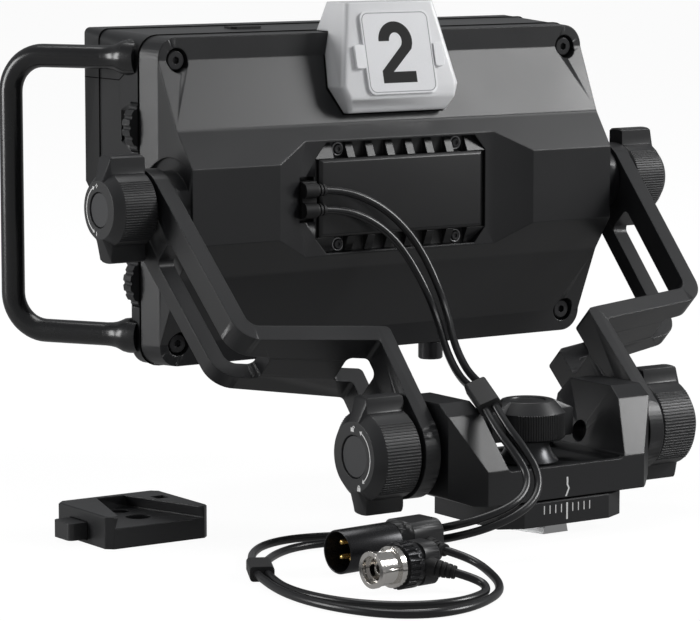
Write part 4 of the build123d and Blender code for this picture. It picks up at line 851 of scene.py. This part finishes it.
# Power plug: a four-way male plug. A black satin metal sleeve holds a moulded insert
# with gold pins, and a right-angle plastic body carries the ribbed strain relief.
plug_way = Vector((0.9963, 0.0862, 0.0))
mouth = Vector((-132.5, -42.0, 9.55))
sleeve_steps = [(17.4, 8.45), (0.6, 8.5), (0.15, 8.7), (0.0, 9.0), (0.15, 9.3), (0.6, 9.5)]
sleeve_steps += [(28.6, 9.5), (29.0, 9.2)]
sleeve = turned("plug_sleeve", mouth, plug_way, sleeve_steps, 96)
sleeve_black = grained(
    "satin sleeve", (0.030, 0.030, 0.032), 0.28, 0.3, 0.004, 0.1, 0.15, metal=0.7
)
fit(sleeve, sleeve_black, "plug_shell", "foot", "xlr_shell")
dress(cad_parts["xlr_insert"], clip_black)
gold = grained("gold plating", (0.90, 0.62, 0.22), 0.25, 0.3, 0.003, 0.06, 0.1, metal=0.75)
across = Vector((-0.0862, 0.9963, 0.0))
pins = []
pin_ring = 4.6
pin_steps = [(4.5, 0.35), (4.6, 0.75), (4.95, 1.02), (5.5, 1.15), (23.0, 1.15)]
for turn in (45, 135, 225, 315):
    way = math.radians(turn)
    foot = mouth + across * pin_ring * math.cos(way) + Vector((0, 0, pin_ring * math.sin(way)))
    pins.append(turned("pin", foot, plug_way, pin_steps, 24))
fit(together("plug_pins", pins), gold, "gold", "foot", "xlr_pins")
plug_body = joined_copy("xlr_body", "plug_body")
fit(plug_body, plastic, "clip_plastic", "foot", "xlr_body")
relief = joined_copy("xlr_relief", "plug_relief")
fit(relief, rubber, "black_rubber", "foot", "xlr_relief")

# Video plug: a bayonet plug. A nickelled ring turns on the contact core, and a knurled
# black collar joins it to a right-angle body with its ribbed tail.
nickel = grained("nickel plating", (0.72, 0.70, 0.67), 0.16, 0.4, 0.003, 0.06, 0.2, metal=1.0)
ring = joined_copy("bnc_ring", "bayonet_sleeve")
fit(ring, nickel, "nickel", "bayonet_ring", "bnc_ring")
dress(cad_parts["bnc_core"], nickel)
collar = joined_copy("bnc_collar", "knurled_collar")
fit(collar, sleeve_black, "plug_shell", "foot", "bnc_collar")
video_body = joined_copy("bnc_body", "video_plug_body")
fit(video_body, plastic, "clip_plastic", "foot", "bnc_body")
tail = joined_copy("bnc_relief", "video_plug_tail")
fit(tail, rubber, "black_rubber", "foot", "bnc_relief")
hanging = {"far_end": "fitting", "lay": "hanging", "with_pieces": [upper_clip]}
looped = {"far_end": "fitting", "lay": "loose", "with_pieces": [lower_clip]}
video_end_fit = {"far_end": "plug", "lay": "loose", "with_pieces": [tail, video_body, collar]}
power_end_fit = {"far_end": "plug", "lay": "loose", "with_pieces": [relief, plug_body, sleeve]}
cable("video_lead_upper", video_upper, "video_cable_upper", "head", 0.1825, **hanging)
cable("video_lead_middle", video_middle, "video_cable_middle", "bracket", 0.2276, **looped)
cable("video_lead_end", video_end, "video_cable_end", "foot", 0.1528, **video_end_fit)
cable("power_lead_upper", power_upper, "power_cable_upper", "head", 0.1722, **hanging)
cable("power_lead_middle", power_middle, "power_cable_middle", "bracket", 0.2501, **looped)
cable("power_lead_end", power_end, "power_cable_end", "foot", 0.2271, **power_end_fit)

# Receiver shoe: a milled black block with a tapered channel for the wedge, taken off
# the foot. A sprung button on its left draws back the bright latch tongue.
receiver = joined_copy("shoe_body", "receiver_block")
fit(receiver, casting, "black_casting", "foot", "shoe_body")
release = joined_copy("shoe_button", "release_button")
fit(release, plastic, "knob_plastic", "shoe_catch", "shoe_button")
dress(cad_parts["shoe_latch"], steel)
dress(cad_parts["shoe_spring"], steel)

# Floor: a plain pale sheet. It looks white to the camera and to gloss and glass, and
# still takes the object's shadow.
bpy.ops.object.select_all(action="DESELECT")
bpy.ops.mesh.primitive_plane_add(size=24.0, location=(0.0, 0.0, 0.0))
floor = bpy.context.object
floor.name = "studio_floor"
floor_finish, start = empty_finish("pale floor")
seen = start.node("ShaderNodeLightPath", out="Is Camera Ray")
gloss = start.node("ShaderNodeLightPath", out="Is Glossy Ray")
through = start.node("ShaderNodeLightPath", out="Is Transmission Ray")
shown = 0.88
mask = seen * shown + gloss * shown + through * shown
glow = gloss * -0.72 + 1.0
dull = start.node(
    "ShaderNodeBsdfPrincipled",
    {},
    {"Base Color": (0.62, 0.62, 0.62, 1.0), "Roughness": 0.9, "Specular IOR Level": 0.1},
)
white = start.node("ShaderNodeEmission", {}, {"Color": glow, "Strength": 1.08})
sheet = start.node("ShaderNodeMixShader", {}, {0: mask, 1: dull, 2: white})
start.node("ShaderNodeOutputMaterial", {}, {"Surface": sheet})
dress(floor, floor_finish)

# Light: three soft boxes and a dim room, with the same white behind the object as the
# floor has.
world = bpy.data.worlds.new("room")
bpy.context.scene.world = world
world.use_nodes = True
world.node_tree.nodes.clear()
start = Wire(world.node_tree)
seen = start.node("ShaderNodeLightPath", out="Is Camera Ray")
gloss = start.node("ShaderNodeLightPath", out="Is Glossy Ray")
through = start.node("ShaderNodeLightPath", out="Is Transmission Ray")
mask = seen + gloss * 0.10 + through
dim = start.node("ShaderNodeBackground", {}, {"Color": (0.80, 0.82, 0.85, 1.0), "Strength": 0.20})
bright = start.node("ShaderNodeBackground", {}, {"Color": (1.0, 1.0, 1.0, 1.0), "Strength": 1.0})
room = start.node("ShaderNodeMixShader", {}, {0: mask, 1: dim, 2: bright})
start.node("ShaderNodeOutputWorld", {}, {"Surface": room})


def soft_box(name, spot, aim, wide, high, power):
    """An area lamp at a spot, turned towards its aim."""
    lamp = bpy.data.lights.new(name, "AREA")
    lamp.shape = "RECTANGLE"
    lamp.size = wide
    lamp.size_y = high
    lamp.energy = power
    holder = bpy.data.objects.new(name, lamp)
    holder.location = spot
    holder.rotation_euler = (Vector(aim) - Vector(spot)).to_track_quat("-Z", "Y").to_euler()
    bpy.context.collection.objects.link(holder)


soft_box("key_box", (1.9, -1.15, 1.35), (0.05, 0.1, 0.17), 0.85, 1.0, 44.0)
soft_box("left_box", (-1.7, 0.9, 0.35), (0.0, 0.1, 0.12), 0.6, 1.1, 20.0)
soft_box("top_box", (0.1, 0.5, 1.7), (0.0, 0.1, 0.1), 1.2, 0.8, 12.0)

# Camera: a long lens at the photograph's angle, a little above the object, with the
# place and focal length solved from the photograph.
lens_data = bpy.data.cameras.new("photo_camera")
sensor_wide = 36.0
photo_wide = 700.0
focal_pixels = 3390.37
lens_data.sensor_width = sensor_wide
lens_data.lens = focal_pixels / photo_wide * sensor_wide
lens_data.clip_end = 60.0
camera = bpy.data.objects.new("photo_camera", lens_data)
camera.location = (-0.92064, -1.20855, 0.29485)
camera.rotation_euler = Vector((0.5583, 0.8196, -0.1284)).to_track_quat("-Z", "Y").to_euler()
bpy.context.collection.objects.link(camera)
bpy.context.scene.camera = camera
bpy.context.scene.view_settings.view_transform = "Standard"
